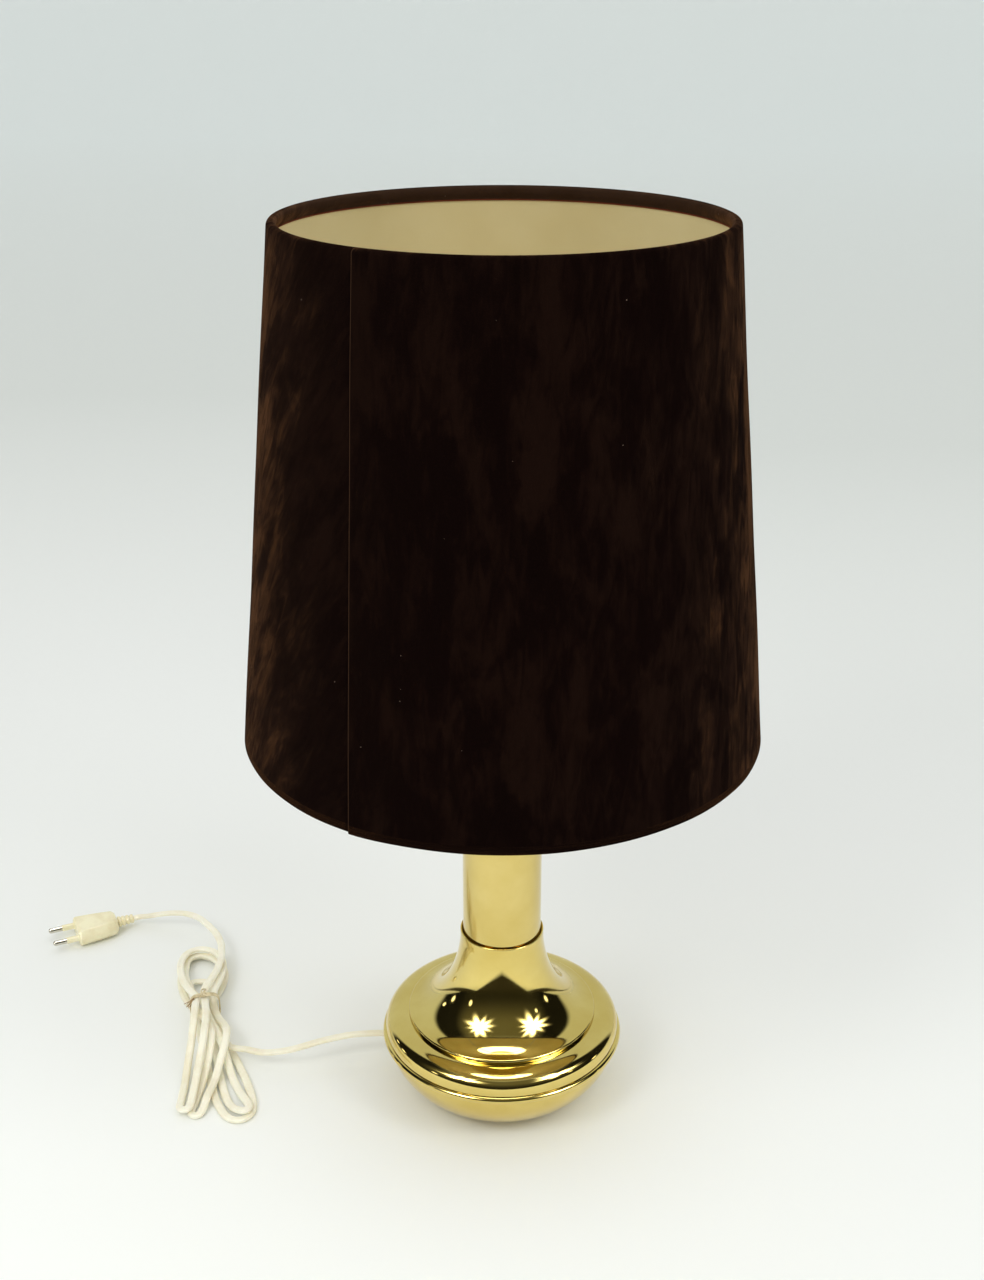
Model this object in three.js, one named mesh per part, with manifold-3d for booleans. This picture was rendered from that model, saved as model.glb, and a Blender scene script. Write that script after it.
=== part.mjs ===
// Table lamp: a spun brass base and column, a screw lampholder with its bulb,
// a velvet drum shade on a wire spider, and a flat two-core cord tied in a hank with its plug.
// Millimetres, +Z up. The origin is the centre of the base on the table, and the viewer looks along +Y.
import * as THREE from "three";
import { mergeVertices } from "three/addons/utils/BufferGeometryUtils.js";
import Module from "manifold-3d";

const wasm = await Module();
wasm.setup();

// Driving dimensions of the base and column.
const FIT = 0.3; // clearance between pieces that seat on a round or turned face
const SHELL = 1.0; // spun brass wall
const FELT_THICKNESS = 1.5;
const FOOT_RADIUS = 49.5; // where the bowl meets the table
const BOWL_HEIGHT = 35;
const BOWL_SWELL = 8.7; // how far the bowl's side bulges past a straight line
const BOWL_MOUTH_RADIUS = 20; // opening in the bowl's floor for the bottom nut
const RIM_RADIUS = 79.6; // widest ring of the lamp
const RIM_BEAD_RADIUS = 2.5; // rolled edge of the shoulder
const BOWL_RIM_RADIUS = RIM_RADIUS - RIM_BEAD_RADIUS - 0.4;
const SHOULDER_HEIGHT = 17.6; // from the rolled edge's middle up to the bell's seat
const STEP_RADIUS = 62.3; // where the bell meets the shoulder
const STEP_DEPTH = 2.2; // sunk groove round the bell's edge
const BELL_EDGE_DROP = 1.6; // turned-down edge of the bell
const COLLAR_TOP = 117.6; // lip of the bell round the column
const COLLAR_WALL = 1.2;
const COLLAR_GAP = 0.6; // between the column and the collar
const COLUMN_RADIUS = 25.4;
const COLUMN_WALL = 1.2;
const COLUMN_SEAT_DEPTH = 15; // how deep the column stands in the collar
const COLUMN_TOP = 246;
const BRIDGE_THICKNESS = 2;

// Rod, nuts and weight inside the base.
const ROD_RADIUS = 5;
const ROD_BORE_RADIUS = 3.5;
const ROD_BOTTOM = 2.8;
const NUT_WIDTH = 14; // across flats
const NUT_HEIGHT = 4.5;
const WASHER_THICKNESS = 1.5;
const WASHER_RADIUS = 32;
const BALLAST_RADIUS = 45;
const BALLAST_THICKNESS = 17;
const BALLAST_CHAMFER = 2;

// Cord outlet in the bowl's side.
const OUTLET_AZIMUTH = 168.5; // degrees from +X
const OUTLET_HEIGHT = 20;
const BUSH_RADIUS = 4.6;
const BUSH_TIP_RADIUS = 3.9;
const BUSH_COLLAR_RADIUS = 6.3;
const BUSH_INWARD = 13.4; // how far the bush reaches in from the bowl's side
const BUSH_OUTWARD = 6.2;
const BUSH_COLLAR_WIDTH = 3;

// Lampholder.
const CAP_THICKNESS = 2.4;
const CAP_CROWN = 2; // rise of the cap's boss under the lampholder
const CAP_BOSS_RADIUS = 13;
const CAP_SKIRT = 6;
const HOLDER_RADIUS = 19.2;
const HOLDER_WALL = 2.2;
const DOME_HEIGHT = 25;
const DOME_FOOT_RADIUS = 12;
const SKIRT_HEIGHT = 30;
const SKIRT_RADIUS = 19.7;
const SKIRT_WALL = 2.4;
const FLANGE_RADIUS = 24; // shoulder that carries the shade
const FLANGE_THICKNESS = 3;
const FLANGE_RISE = 7; // from the skirt's lower edge
const CORE_HEIGHT = 20;
const SCREW_SHELL_RADIUS = 14.9;
const SCREW_SHELL_WALL = 0.6;
const SCREW_SHELL_HEIGHT = 21;
const CONTACT_HEIGHT = 2.4;
const CONTACT_RADIUS = 4;
const SHADE_RING_RADIUS = 26;
const SHADE_RING_HEIGHT = 7;
const SWITCH_BAR_WIDTH = 5;
const SWITCH_BAR_DEPTH = 4;
const SWITCH_TRAVEL = 7;
const SWITCH_STUB = 3; // what stands out on the pressed side

// Bulb.
const BULB_CAP_RADIUS = 13.2;
const BULB_CAP_HEIGHT = 22;
const BULB_TIP_RADIUS = 5;
const BULB_TIP_HEIGHT = 2.5;
const BULB_RADIUS = 30;
const BULB_GLASS_HEIGHT = 82;
const BULB_NECK_RADIUS = 14.5;
const GLASS_WALL = 1;

// Shade.
const SHADE_BOTTOM = 265;
const SHADE_TOP = 572;
const SHADE_BOTTOM_RADIUS = 157.8;
const SHADE_TOP_RADIUS = 128;
const COVER_THICKNESS = 1.0; // velvet on its stiff backing
const LINING_THICKNESS = 0.6;
const HEM_DEPTH = 9; // velvet turned in at both edges
const HEM_THICKNESS = 0.8;
const SEAM_AZIMUTH = 236.5; // degrees from +X, left of the viewer
const SEAM_LAP = 24; // degrees over which the lapped edge eases back
const WIRE_RADIUS = 1.5;
const FITTER_THICKNESS = 1.6;
const FITTER_RADIUS = 27;
const ARM_RADIUS = 1.6;
const ARM_COUNT = 3;

// Cord, plug and tie.
const CORD_WIDTH = 5.4;
const CORD_HEIGHT = 3.2;
const CORD_GAP = 0.3; // between two pieces of cord face to face
const LAYER_RISE = 3.85; // from one layer of the hank to the next
const LAY_GAP = 0.45; // beside which one piece of cord clears another
const TIE_THICKNESS = 1;
const TIE_WIDTH = 3;
const TIE_ROOM = 1; // between the pile of cord and the thread
const PLUG_LENGTH = 31;
const PLUG_FRONT_WIDTH = 32;
const PLUG_BACK_WIDTH = 25;
const PLUG_HEIGHT = 13.4;
const PLUG_BEVEL = 3.6;
const PLUG_HEADING = 205; // degrees from +X, towards the pins
const PLUG_FACE = new THREE.Vector2(-328.5, 160); // middle of the face that carries the pins
const PIN_SPACING = 18.6;
const PIN_RADIUS = 2;
const PIN_LENGTH = 19;
const SLEEVE_RADIUS = 2.4;
const SLEEVE_LENGTH = 9;
const RELIEF_LENGTH = 13;
const RELIEF_HEIGHT = 5.6;

// Facets.
const ROUND_LARGE = 60;
const ROUND_BASE = 48;
const ROUND_MEDIUM = 28;
const ROUND_SMALL = 20;
const ROUND_WIRE = 6;
const ROUND_HOOP = 48;
const CORNER_TURN = 0.35; // radians
const CROWN_STEPS = 5;

const COLOURS = {
  brass: { color: 0xdcc070, roughness: 0.12, metalness: 1 },
  steel: { color: 0xb9bbbd, roughness: 0.35, metalness: 1 },
  iron: { color: 0x3a3a3c, roughness: 0.8, metalness: 0.4 },
  felt: { color: 0x2c4a35, roughness: 1, metalness: 0 },
  bakelite: { color: 0x191817, roughness: 0.35, metalness: 0 },
  porcelain: { color: 0xeeeae0, roughness: 0.3, metalness: 0 },
  glass: { color: 0xf4f4f0, roughness: 0.4, metalness: 0 },
  velvet: { color: 0x1c0d08, roughness: 1, metalness: 0 },
  lining: { color: 0xb9ad80, roughness: 0.6, metalness: 0 },
  cream: { color: 0xe9e2c3, roughness: 0.5, metalness: 0 },
  thread: { color: 0xcfc09a, roughness: 0.9, metalness: 0 },
};

const lamp = new THREE.Group();

function add(name, geometry, look) {
  const mesh = new THREE.Mesh(facingOut(geometry), new THREE.MeshStandardMaterial(COLOURS[look]));
  mesh.name = name;
  lamp.add(mesh);
  return mesh;
}

// Small helpers.
const radians = (degrees) => (degrees * Math.PI) / 180;
const mix = (a, b, t) => a + (b - a) * t;
const p2 = (x, y) => new THREE.Vector2(x, y);
const p3 = (x, y, z) => new THREE.Vector3(x, y, z);
const rise = (t) => {
  const s = Math.min(Math.max(t, 0), 1);
  return s * s * (3 - 2 * s);
};

function welded(geometry) {
  const plain = geometry.index ? geometry : geometry.clone();
  for (const name of Object.keys(plain.attributes)) {
    if (name !== "position") plain.deleteAttribute(name);
  }
  return mergeVertices(plain, 1e-4);
}

// Six times the signed volume: negative when the faces point inwards.
function signedVolume(geometry) {
  const position = geometry.attributes.position;
  const index = geometry.index.array;
  const corner = (i) => new THREE.Vector3().fromBufferAttribute(position, index[i]);
  let sum = 0;
  for (let i = 0; i < index.length; i += 3) {
    sum += corner(i).dot(corner(i + 1).cross(corner(i + 2)));
  }
  return sum;
}

function facingOut(geometry) {
  const solid = welded(geometry);
  if (signedVolume(solid) < 0) {
    const index = solid.index.array;
    for (let i = 0; i < index.length; i += 3) {
      [index[i + 1], index[i + 2]] = [index[i + 2], index[i + 1]];
    }
  }
  return solid;
}

function toSolid(geometry) {
  const mesh = facingOut(geometry);
  return new wasm.Manifold(
    new wasm.Mesh({
      numProp: 3,
      vertProperties: new Float32Array(mesh.attributes.position.array),
      triVerts: new Uint32Array(mesh.index.array),
    }),
  );
}

function toGeometry(solid) {
  const mesh = solid.getMesh();
  const geometry = new THREE.BufferGeometry();
  geometry.setAttribute("position", new THREE.BufferAttribute(mesh.vertProperties, 3));
  geometry.setIndex(new THREE.BufferAttribute(mesh.triVerts, 1));
  return geometry;
}

// A closed profile of [radius, height] points turned round the Z axis.
function turned(profile, facets) {
  const points = profile.map(([radius, height]) => p2(radius, height));
  if (points[0].x > 0) points.push(points[0].clone());
  return new THREE.LatheGeometry(points, facets).rotateX(Math.PI / 2);
}

// A flat ring between two radii and two heights.
function ringProfile(inner, outer, low, high) {
  return [
    [inner, low],
    [outer, low],
    [outer, high],
    [inner, high],
  ];
}

// How much a profile turns at a point, in radians.
function turnAt(profile, i) {
  const heading = (a, b) => Math.atan2(b[1] - a[1], b[0] - a[0]);
  const turn = heading(profile[i], profile[i + 1]) - heading(profile[i - 1], profile[i]);
  return Math.abs(Math.atan2(Math.sin(turn), Math.cos(turn)));
}

// The wall of a spun shell: an outer profile read upwards, then the same profile moved in by the wall,
// with its corners and every second point, because the inside is hidden.
function shellProfile(outer, wall) {
  const last = outer.length - 1;
  const inward = (i) => {
    const run = p2(outer[i + 1][0] - outer[i][0], outer[i + 1][1] - outer[i][1]).normalize();
    return p2(-run.y, run.x);
  };
  const inner = outer.map(([radius, height], i) => {
    const before = inward(Math.max(i - 1, 0));
    const after = inward(Math.min(i, last - 1));
    const corner = before.clone().add(after).multiplyScalar(wall / (1 + before.dot(after)));
    return [radius + corner.x, height + corner.y];
  });
  const kept = inner.filter((_, i) => i % 2 === 0 || i === last || turnAt(outer, i) > CORNER_TURN);
  return [...outer, ...kept.reverse()];
}

function bezier(a, b, c, d, count) {
  const curve = new THREE.CubicBezierCurve(p2(...a), p2(...b), p2(...c), p2(...d));
  return curve.getPoints(count).map((point) => [point.x, point.y]);
}

function extruded(outline, depth, hole) {
  const shape = new THREE.Shape(outline);
  if (hole) shape.holes.push(new THREE.Path(hole));
  return new THREE.ExtrudeGeometry(shape, { depth, bevelEnabled: false });
}

function polygon(sides, radius, turn = 0) {
  return Array.from({ length: sides }, (_, i) => {
    const angle = (2 * Math.PI * i) / sides + turn;
    return p2(radius * Math.cos(angle), radius * Math.sin(angle));
  });
}

function hexNut(low) {
  const corners = polygon(6, NUT_WIDTH / Math.sqrt(3));
  const hole = polygon(ROUND_SMALL, ROD_RADIUS + FIT);
  return extruded(corners, NUT_HEIGHT, hole).translate(0, 0, low);
}

// Heights that the base pieces share.
const bowlFloor = FELT_THICKNESS;
const bowlRim = bowlFloor + BOWL_HEIGHT;
const rimHeight = bowlRim + FIT + RIM_BEAD_RADIUS;
const bellSeat = rimHeight + SHOULDER_HEIGHT;
const washerTop = bowlFloor + SHELL + WASHER_THICKNESS;
const nutTop = ROD_BOTTOM + NUT_HEIGHT + FIT;
const ballastLow = nutTop + WASHER_THICKNESS + FIT;
const ballastTop = ballastLow + BALLAST_THICKNESS;
const bridgeTop = COLLAR_TOP - COLUMN_SEAT_DEPTH;
const rodHole = ROD_RADIUS + FIT;
const collarInner = COLUMN_RADIUS + COLLAR_GAP;
const collarOuter = collarInner + COLLAR_WALL;

function feltPad() {
  return turned([[0, 0], [FOOT_RADIUS - 1.5, 0], [FOOT_RADIUS - 1.5, bowlFloor], [0, bowlFloor]], ROUND_BASE);
}

function bowlSide() {
  const low = [FOOT_RADIUS, bowlFloor];
  const high = [BOWL_RIM_RADIUS, bowlRim];
  const third = [mix(low[0], high[0], 0.375) + BOWL_SWELL, mix(low[1], high[1], 0.232)];
  const twoThirds = [mix(low[0], high[0], 0.986), mix(low[1], high[1], 0.748)];
  return bezier(low, third, twoThirds, high, 8);
}

// How far the bowl's side is from the lamp's axis where the cord comes out.
function outletRadius() {
  const side = bowlSide();
  const over = side.findIndex(([, height]) => height > OUTLET_HEIGHT);
  const [[low, lowHeight], [high, highHeight]] = [side[over - 1], side[over]];
  return mix(low, high, (OUTLET_HEIGHT - lowHeight) / (highHeight - lowHeight));
}

function lowerBowl() {
  const profile = shellProfile([[BOWL_MOUTH_RADIUS, bowlFloor], ...bowlSide()], SHELL);
  const hole = BUSH_RADIUS + FIT;
  const drill = new THREE.CylinderGeometry(hole, hole, 2 * BUSH_INWARD, ROUND_SMALL);
  const bowl = toSolid(turned(profile, ROUND_BASE));
  return toGeometry(bowl.subtract(toSolid(alongOutlet(drill, outletRadius()))));
}

// Turns a piece made along Y so that it points out of the cord outlet, its middle at the given reach.
function alongOutlet(geometry, reach) {
  const azimuth = radians(OUTLET_AZIMUTH);
  return geometry
    .rotateZ(azimuth - Math.PI / 2)
    .translate(reach * Math.cos(azimuth), reach * Math.sin(azimuth), OUTLET_HEIGHT);
}

function cordSection(clearance = 0) {
  const wide = CORD_WIDTH / 2 + clearance;
  const thick = CORD_HEIGHT / 2 + clearance;
  const flat = wide - thick * 0.6;
  return [
    p2(thick, -flat), p2(thick, flat), p2(thick * 0.55, wide - thick * 0.12),
    p2(-thick * 0.55, wide - thick * 0.12),
    p2(-thick, flat), p2(-thick, -flat), p2(-thick * 0.55, thick * 0.12 - wide),
    p2(thick * 0.55, thick * 0.12 - wide),
  ];
}

function cordBush() {
  const outlet = outletRadius();
  const length = BUSH_INWARD + BUSH_OUTWARD;
  const middle = outlet + (BUSH_OUTWARD - BUSH_INWARD) / 2;
  const taper = new THREE.CylinderGeometry(BUSH_TIP_RADIUS, BUSH_RADIUS, length, ROUND_SMALL);
  const sleeve = alongOutlet(taper, middle);
  const collar = alongOutlet(
    new THREE.CylinderGeometry(BUSH_COLLAR_RADIUS, BUSH_COLLAR_RADIUS, 4 * BUSH_COLLAR_WIDTH, ROUND_SMALL),
    outlet - BUSH_COLLAR_WIDTH,
  );
  const seat = bowlSide().map(([radius, height]) => [radius + FIT, height]);
  const bowlBody = turned([[0, bowlFloor], ...seat, [0, bowlRim]], ROUND_BASE);
  const slot = extruded(cordSection(FIT).map((point) => p2(point.y, point.x)), length + 2)
    .rotateX(-Math.PI / 2)
    .translate(0, -length / 2 - 1, 0);
  return toGeometry(
    toSolid(collar)
      .subtract(toSolid(bowlBody))
      .add(toSolid(sleeve))
      .subtract(toSolid(alongOutlet(slot, middle))),
  );
}

function bottomWasher() {
  const low = bowlFloor + SHELL;
  const dish = [
    [WASHER_RADIUS, low], [WASHER_RADIUS, washerTop], [BOWL_MOUTH_RADIUS - 1, washerTop],
    [BOWL_MOUTH_RADIUS - 6, nutTop + WASHER_THICKNESS], [rodHole, nutTop + WASHER_THICKNESS],
    [rodHole, nutTop],
    [BOWL_MOUTH_RADIUS - 6, nutTop], [BOWL_MOUTH_RADIUS - 1, low],
  ];
  return turned(dish, ROUND_MEDIUM);
}

function ballastWeight() {
  const inner = rodHole;
  const edge = BALLAST_RADIUS - BALLAST_CHAMFER;
  return turned([
    [inner, ballastLow], [edge, ballastLow], [BALLAST_RADIUS, ballastLow + BALLAST_CHAMFER],
    [BALLAST_RADIUS, ballastTop - BALLAST_CHAMFER], [edge, ballastTop], [inner, ballastTop],
  ], ROUND_MEDIUM);
}

// From the rolled edge, over the convex shoulder, down into the groove where the bell sits.
function shoulderRing() {
  const bead = [];
  for (let i = 0; i <= 5; i += 1) {
    const angle = radians(mix(-90, 70, i / 5));
    bead.push([
      RIM_RADIUS - RIM_BEAD_RADIUS + RIM_BEAD_RADIUS * Math.cos(angle),
      rimHeight + RIM_BEAD_RADIUS * Math.sin(angle),
    ]);
  }
  const start = [bead[5][0] - 0.5, bead[5][1] + 0.1];
  const end = [STEP_RADIUS, bellSeat - STEP_DEPTH];
  const crown = bezier(start, [start[0] + 0.6, start[1] + 8.1], [end[0] + 12.8, end[1]], end, 6);
  const seat = [[STEP_RADIUS - 6, bellSeat - STEP_DEPTH]];
  return turned(shellProfile([...bead, ...crown, ...seat], SHELL), ROUND_BASE);
}

function bellSide() {
  const edge = [STEP_RADIUS - FIT, bellSeat - STEP_DEPTH + FIT];
  const lip = [STEP_RADIUS - FIT, edge[1] + BELL_EDGE_DROP];
  const crest = [lip[0] - 1.2, lip[1] + 1.2];
  const collar = [collarOuter, COLLAR_TOP - 6];
  const sweep = bezier(crest, [crest[0] - 17, crest[1] + 2.5], [collar[0] + 2.2, collar[1] - 30], collar, 9);
  return [edge, lip, ...sweep, [collarOuter - 0.1, COLLAR_TOP - 1], [collarOuter - 0.5, COLLAR_TOP]];
}

function neckBell() {
  return turned(shellProfile(bellSide(), COLLAR_WALL), ROUND_BASE);
}

// Steel bridge soldered across the bell's neck: the column stands on it.
function neckBridge() {
  const radius = collarInner - 2 * FIT;
  const top = bridgeTop - FIT;
  return turned(ringProfile(rodHole, radius, top - BRIDGE_THICKNESS, top), ROUND_MEDIUM);
}

function columnTube() {
  return turned(ringProfile(COLUMN_RADIUS - COLUMN_WALL, COLUMN_RADIUS, bridgeTop, COLUMN_TOP), ROUND_MEDIUM);
}

const capTop = COLUMN_TOP + FIT + CAP_THICKNESS;
const holderFoot = capTop + CAP_CROWN + FIT;

// Brass cap let into the column, with a boss under the lampholder.
function columnCap() {
  const inside = COLUMN_RADIUS - COLUMN_WALL - FIT;
  const low = COLUMN_TOP - CAP_SKIRT;
  const under = COLUMN_TOP + FIT;
  return turned([
    [rodHole, under], [inside - CAP_THICKNESS, under], [inside - CAP_THICKNESS, low], [inside, low],
    [inside, under], [COLUMN_RADIUS, under], [COLUMN_RADIUS, capTop - 1], [COLUMN_RADIUS - 1, capTop],
    [CAP_BOSS_RADIUS + 1, capTop], [CAP_BOSS_RADIUS, capTop + CAP_CROWN], [rodHole, capTop + CAP_CROWN],
  ], ROUND_MEDIUM);
}

const domeTop = holderFoot + DOME_HEIGHT;
const skirtLow = domeTop + FIT;
const skirtTop = skirtLow + SKIRT_HEIGHT;
const flangeTop = skirtLow + FLANGE_RISE;
const coreLow = holderFoot + 10;
const coreTop = coreLow + CORE_HEIGHT;
const rodTop = holderFoot + 6;
const switchHeight = coreLow + 6;
const barLength = 2 * HOLDER_RADIUS + SWITCH_TRAVEL + 2 * SWITCH_STUB;

function switchTunnel() {
  return new THREE.BoxGeometry(3 * HOLDER_RADIUS, SWITCH_BAR_DEPTH + 2 * FIT, SWITCH_BAR_WIDTH + 2 * FIT)
    .translate(0, 0, switchHeight);
}

function holderDome() {
  const shoulder = holderFoot + 8;
  const inner = HOLDER_RADIUS - HOLDER_WALL;
  const body = turned([
    [rodHole, holderFoot], [DOME_FOOT_RADIUS, holderFoot], [DOME_FOOT_RADIUS + 4.4, holderFoot + 2.2],
    [HOLDER_RADIUS - 0.8, holderFoot + 5], [HOLDER_RADIUS, shoulder], [HOLDER_RADIUS, domeTop],
    [inner, domeTop],
    [inner, shoulder + 1], [DOME_FOOT_RADIUS + 2, holderFoot + 5.4], [rodHole, holderFoot + 3.4],
  ], ROUND_MEDIUM);
  return toGeometry(toSolid(body).subtract(toSolid(switchTunnel())));
}

function holderCore() {
  const radius = HOLDER_RADIUS - HOLDER_WALL - FIT;
  const neck = SKIRT_RADIUS - SKIRT_WALL - 2 * FIT;
  const body = turned([
    [3, coreLow], [radius, coreLow], [radius, domeTop - 1], [Math.min(neck, radius), domeTop - 1],
    [Math.min(neck, radius), coreTop], [3, coreTop],
  ], ROUND_MEDIUM);
  return toGeometry(toSolid(body).subtract(toSolid(switchTunnel())));
}

function holderSkirt() {
  const inner = SKIRT_RADIUS - SKIRT_WALL;
  const flangeLow = flangeTop - FLANGE_THICKNESS;
  return turned([
    [inner, skirtLow], [SKIRT_RADIUS, skirtLow], [SKIRT_RADIUS, flangeLow], [FLANGE_RADIUS, flangeLow],
    [FLANGE_RADIUS, flangeTop], [SKIRT_RADIUS, flangeTop], [SKIRT_RADIUS, skirtTop], [inner, skirtTop],
  ], ROUND_MEDIUM);
}

function screwShell() {
  const low = coreTop + FIT;
  const inner = SCREW_SHELL_RADIUS - SCREW_SHELL_WALL;
  return turned(ringProfile(inner, SCREW_SHELL_RADIUS, low, low + SCREW_SHELL_HEIGHT), ROUND_MEDIUM);
}

function centreContact() {
  const low = coreTop + FIT;
  const middle = low + CONTACT_HEIGHT;
  return turned([
    [0, low], [CONTACT_RADIUS + 4, low], [CONTACT_RADIUS + 4, low + 0.8], [CONTACT_RADIUS, low + 1],
    [CONTACT_RADIUS - 1.4, middle], [0, middle],
  ], ROUND_SMALL);
}

function shadeRing() {
  const low = flangeTop + 2 * FIT + FITTER_THICKNESS;
  const inner = SKIRT_RADIUS + FIT;
  const ring = turned([
    [inner, low], [SHADE_RING_RADIUS, low], [SHADE_RING_RADIUS, low + 2],
    [SHADE_RING_RADIUS - 2.5, low + 2.6],
    [SHADE_RING_RADIUS - 3, low + SHADE_RING_HEIGHT], [inner, low + SHADE_RING_HEIGHT],
  ], ROUND_MEDIUM);
  return ring;
}

function switchBar() {
  return new THREE.BoxGeometry(barLength, SWITCH_BAR_DEPTH, SWITCH_BAR_WIDTH)
    .translate(-SWITCH_TRAVEL / 2, 0, switchHeight);
}

const bulbTipLow = coreTop + FIT + CONTACT_HEIGHT + FIT;
const bulbCapLow = bulbTipLow + BULB_TIP_HEIGHT;
const glassLow = bulbCapLow + BULB_CAP_HEIGHT;
const bulbTop = glassLow + BULB_GLASS_HEIGHT;

function bulbTip() {
  const high = bulbCapLow - FIT;
  return turned([
    [0, bulbTipLow], [BULB_TIP_RADIUS - 1, bulbTipLow], [BULB_TIP_RADIUS + 3, high], [0, high],
  ], ROUND_SMALL);
}

function bulbCap() {
  return turned([
    [0, bulbCapLow], [BULB_CAP_RADIUS - 3, bulbCapLow], [BULB_CAP_RADIUS, bulbCapLow + 3],
    [BULB_CAP_RADIUS, glassLow], [0, glassLow],
  ], ROUND_SMALL);
}

// Blown glass, open at the neck where the cap closes it.
function bulbGlass() {
  const ball = bulbTop - BULB_RADIUS;
  const low = glassLow + FIT;
  const neck = bezier([BULB_NECK_RADIUS, low], [BULB_NECK_RADIUS + 1, low + 16],
    [BULB_RADIUS, ball - 20], [BULB_RADIUS, ball], 8);
  const crown = Array.from({ length: CROWN_STEPS }, (_, i) => {
    const angle = (Math.PI / 2) * ((i + 1) / CROWN_STEPS);
    return [BULB_RADIUS * Math.cos(angle), ball + BULB_RADIUS * Math.sin(angle)];
  });
  crown[CROWN_STEPS - 1][0] = 0;
  const outer = [...neck, ...crown];
  const inner = shellProfile(outer, GLASS_WALL).slice(outer.length);
  inner[0][0] = 0;
  return turned([...outer.reverse(), ...inner.reverse()], ROUND_SMALL);
}

// Shade.
const slope = (SHADE_TOP_RADIUS - SHADE_BOTTOM_RADIUS) / (SHADE_TOP - SHADE_BOTTOM);
const shadeRadius = (height) => SHADE_BOTTOM_RADIUS + slope * (height - SHADE_BOTTOM);

// Turned about Z like a lathe, but the outermost wall is one thickness prouder right of the seam,
// where the lapped edge lies over the other one, and eases back to the round.
function lappedTurn(outer, inner, thickness, facets) {
  const columns = outer.length + inner.length;
  const vertices = [];
  const triangles = [];
  for (let i = 0; i <= facets; i += 1) {
    const angle = radians(SEAM_AZIMUTH) + (2 * Math.PI * i) / facets;
    const lap = thickness * (1 - rise(((360 * i) / facets) / SEAM_LAP));
    for (const [radius, height] of outer) {
      vertices.push((radius + lap) * Math.cos(angle), (radius + lap) * Math.sin(angle), height);
    }
    for (const [radius, height] of inner) {
      vertices.push(radius * Math.cos(angle), radius * Math.sin(angle), height);
    }
  }
  for (let i = 0; i <= facets; i += 1) {
    const next = (i + 1) % (facets + 1);
    for (let j = 0; j < columns; j += 1) {
      const up = (j + 1) % columns;
      triangles.push(i * columns + j, next * columns + j, i * columns + up);
      triangles.push(next * columns + j, next * columns + up, i * columns + up);
    }
  }
  const geometry = new THREE.BufferGeometry();
  geometry.setAttribute("position", new THREE.Float32BufferAttribute(vertices, 3));
  geometry.setIndex(triangles);
  return geometry;
}

const hemGap = 2 * WIRE_RADIUS + 2 * FIT; // room for the wire ring and the lining inside the turned hem

function shadeCover() {
  const low = SHADE_BOTTOM;
  const high = SHADE_TOP;
  const hem = COVER_THICKNESS + hemGap;
  const outer = [[shadeRadius(low) - 0.4, low], [shadeRadius(low + 1), low + 1]];
  outer.push([shadeRadius(high - 1), high - 1], [shadeRadius(high) - 0.4, high]);
  const wall = (height, depth) => [shadeRadius(height) - depth, height];
  const inner = [
    wall(high, hem + HEM_THICKNESS), wall(high - HEM_DEPTH, hem + HEM_THICKNESS), wall(high - HEM_DEPTH, hem),
    wall(high - HEM_THICKNESS, hem), wall(high - HEM_THICKNESS, COVER_THICKNESS),
    wall(low + HEM_THICKNESS, COVER_THICKNESS), wall(low + HEM_THICKNESS, hem), wall(low + HEM_DEPTH, hem),
    wall(low + HEM_DEPTH, hem + HEM_THICKNESS), wall(low, hem + HEM_THICKNESS),
  ];
  return lappedTurn(outer, inner, COVER_THICKNESS, ROUND_LARGE);
}

function shadeLining() {
  const reach = HEM_THICKNESS + 2 * WIRE_RADIUS + 2 * FIT;
  const low = SHADE_BOTTOM + reach;
  const high = SHADE_TOP - reach;
  const out = COVER_THICKNESS + FIT;
  const wall = (height, depth) => [shadeRadius(height) - depth, height];
  return turned([
    wall(low, out), wall(high, out), wall(high, out + LINING_THICKNESS), wall(low, out + LINING_THICKNESS),
  ], ROUND_LARGE);
}

function wireRing(height) {
  const radius = shadeRadius(height) - COVER_THICKNESS - FIT - WIRE_RADIUS;
  const section = Array.from({ length: ROUND_WIRE }, (_, i) => {
    const angle = (2 * Math.PI * (i + 0.5)) / ROUND_WIRE;
    return [radius + WIRE_RADIUS * Math.cos(angle), height + WIRE_RADIUS * Math.sin(angle)];
  });
  return turned(section, ROUND_HOOP);
}

const ringInset = HEM_THICKNESS + FIT + WIRE_RADIUS;
const lowerRingHeight = SHADE_BOTTOM + ringInset;
const upperRingHeight = SHADE_TOP - ringInset;

function fitterRing() {
  const low = flangeTop + FIT;
  return turned(ringProfile(SKIRT_RADIUS + FIT, FITTER_RADIUS, low, low + FITTER_THICKNESS), ROUND_MEDIUM);
}

// A wire from the fitter ring down to the hem of the shade, where it meets the lower ring.
function spiderArm(index) {
  const height = flangeTop + FIT + FITTER_THICKNESS / 2;
  const hemRadius = shadeRadius(SHADE_BOTTOM + HEM_DEPTH) - COVER_THICKNESS - hemGap - HEM_THICKNESS;
  const start = p3(FITTER_RADIUS + FIT, 0, height);
  const end = p3(hemRadius - FIT, 0, lowerRingHeight + ARM_RADIUS);
  const path = new THREE.CatmullRomCurve3([
    start,
    p3(start.x + 8, 0, start.z),
    p3(mix(start.x, end.x, 0.5), 0, mix(start.z, end.z, 0.45)),
    p3(end.x - 8, 0, end.z),
    end,
  ]);
  const section = new THREE.Shape(polygon(ROUND_WIRE, ARM_RADIUS, Math.PI / ROUND_WIRE));
  return new THREE.ExtrudeGeometry(section, { steps: 10, bevelEnabled: false, extrudePath: path })
    .rotateZ(radians(90 + (360 / ARM_COUNT) * index));
}

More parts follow.
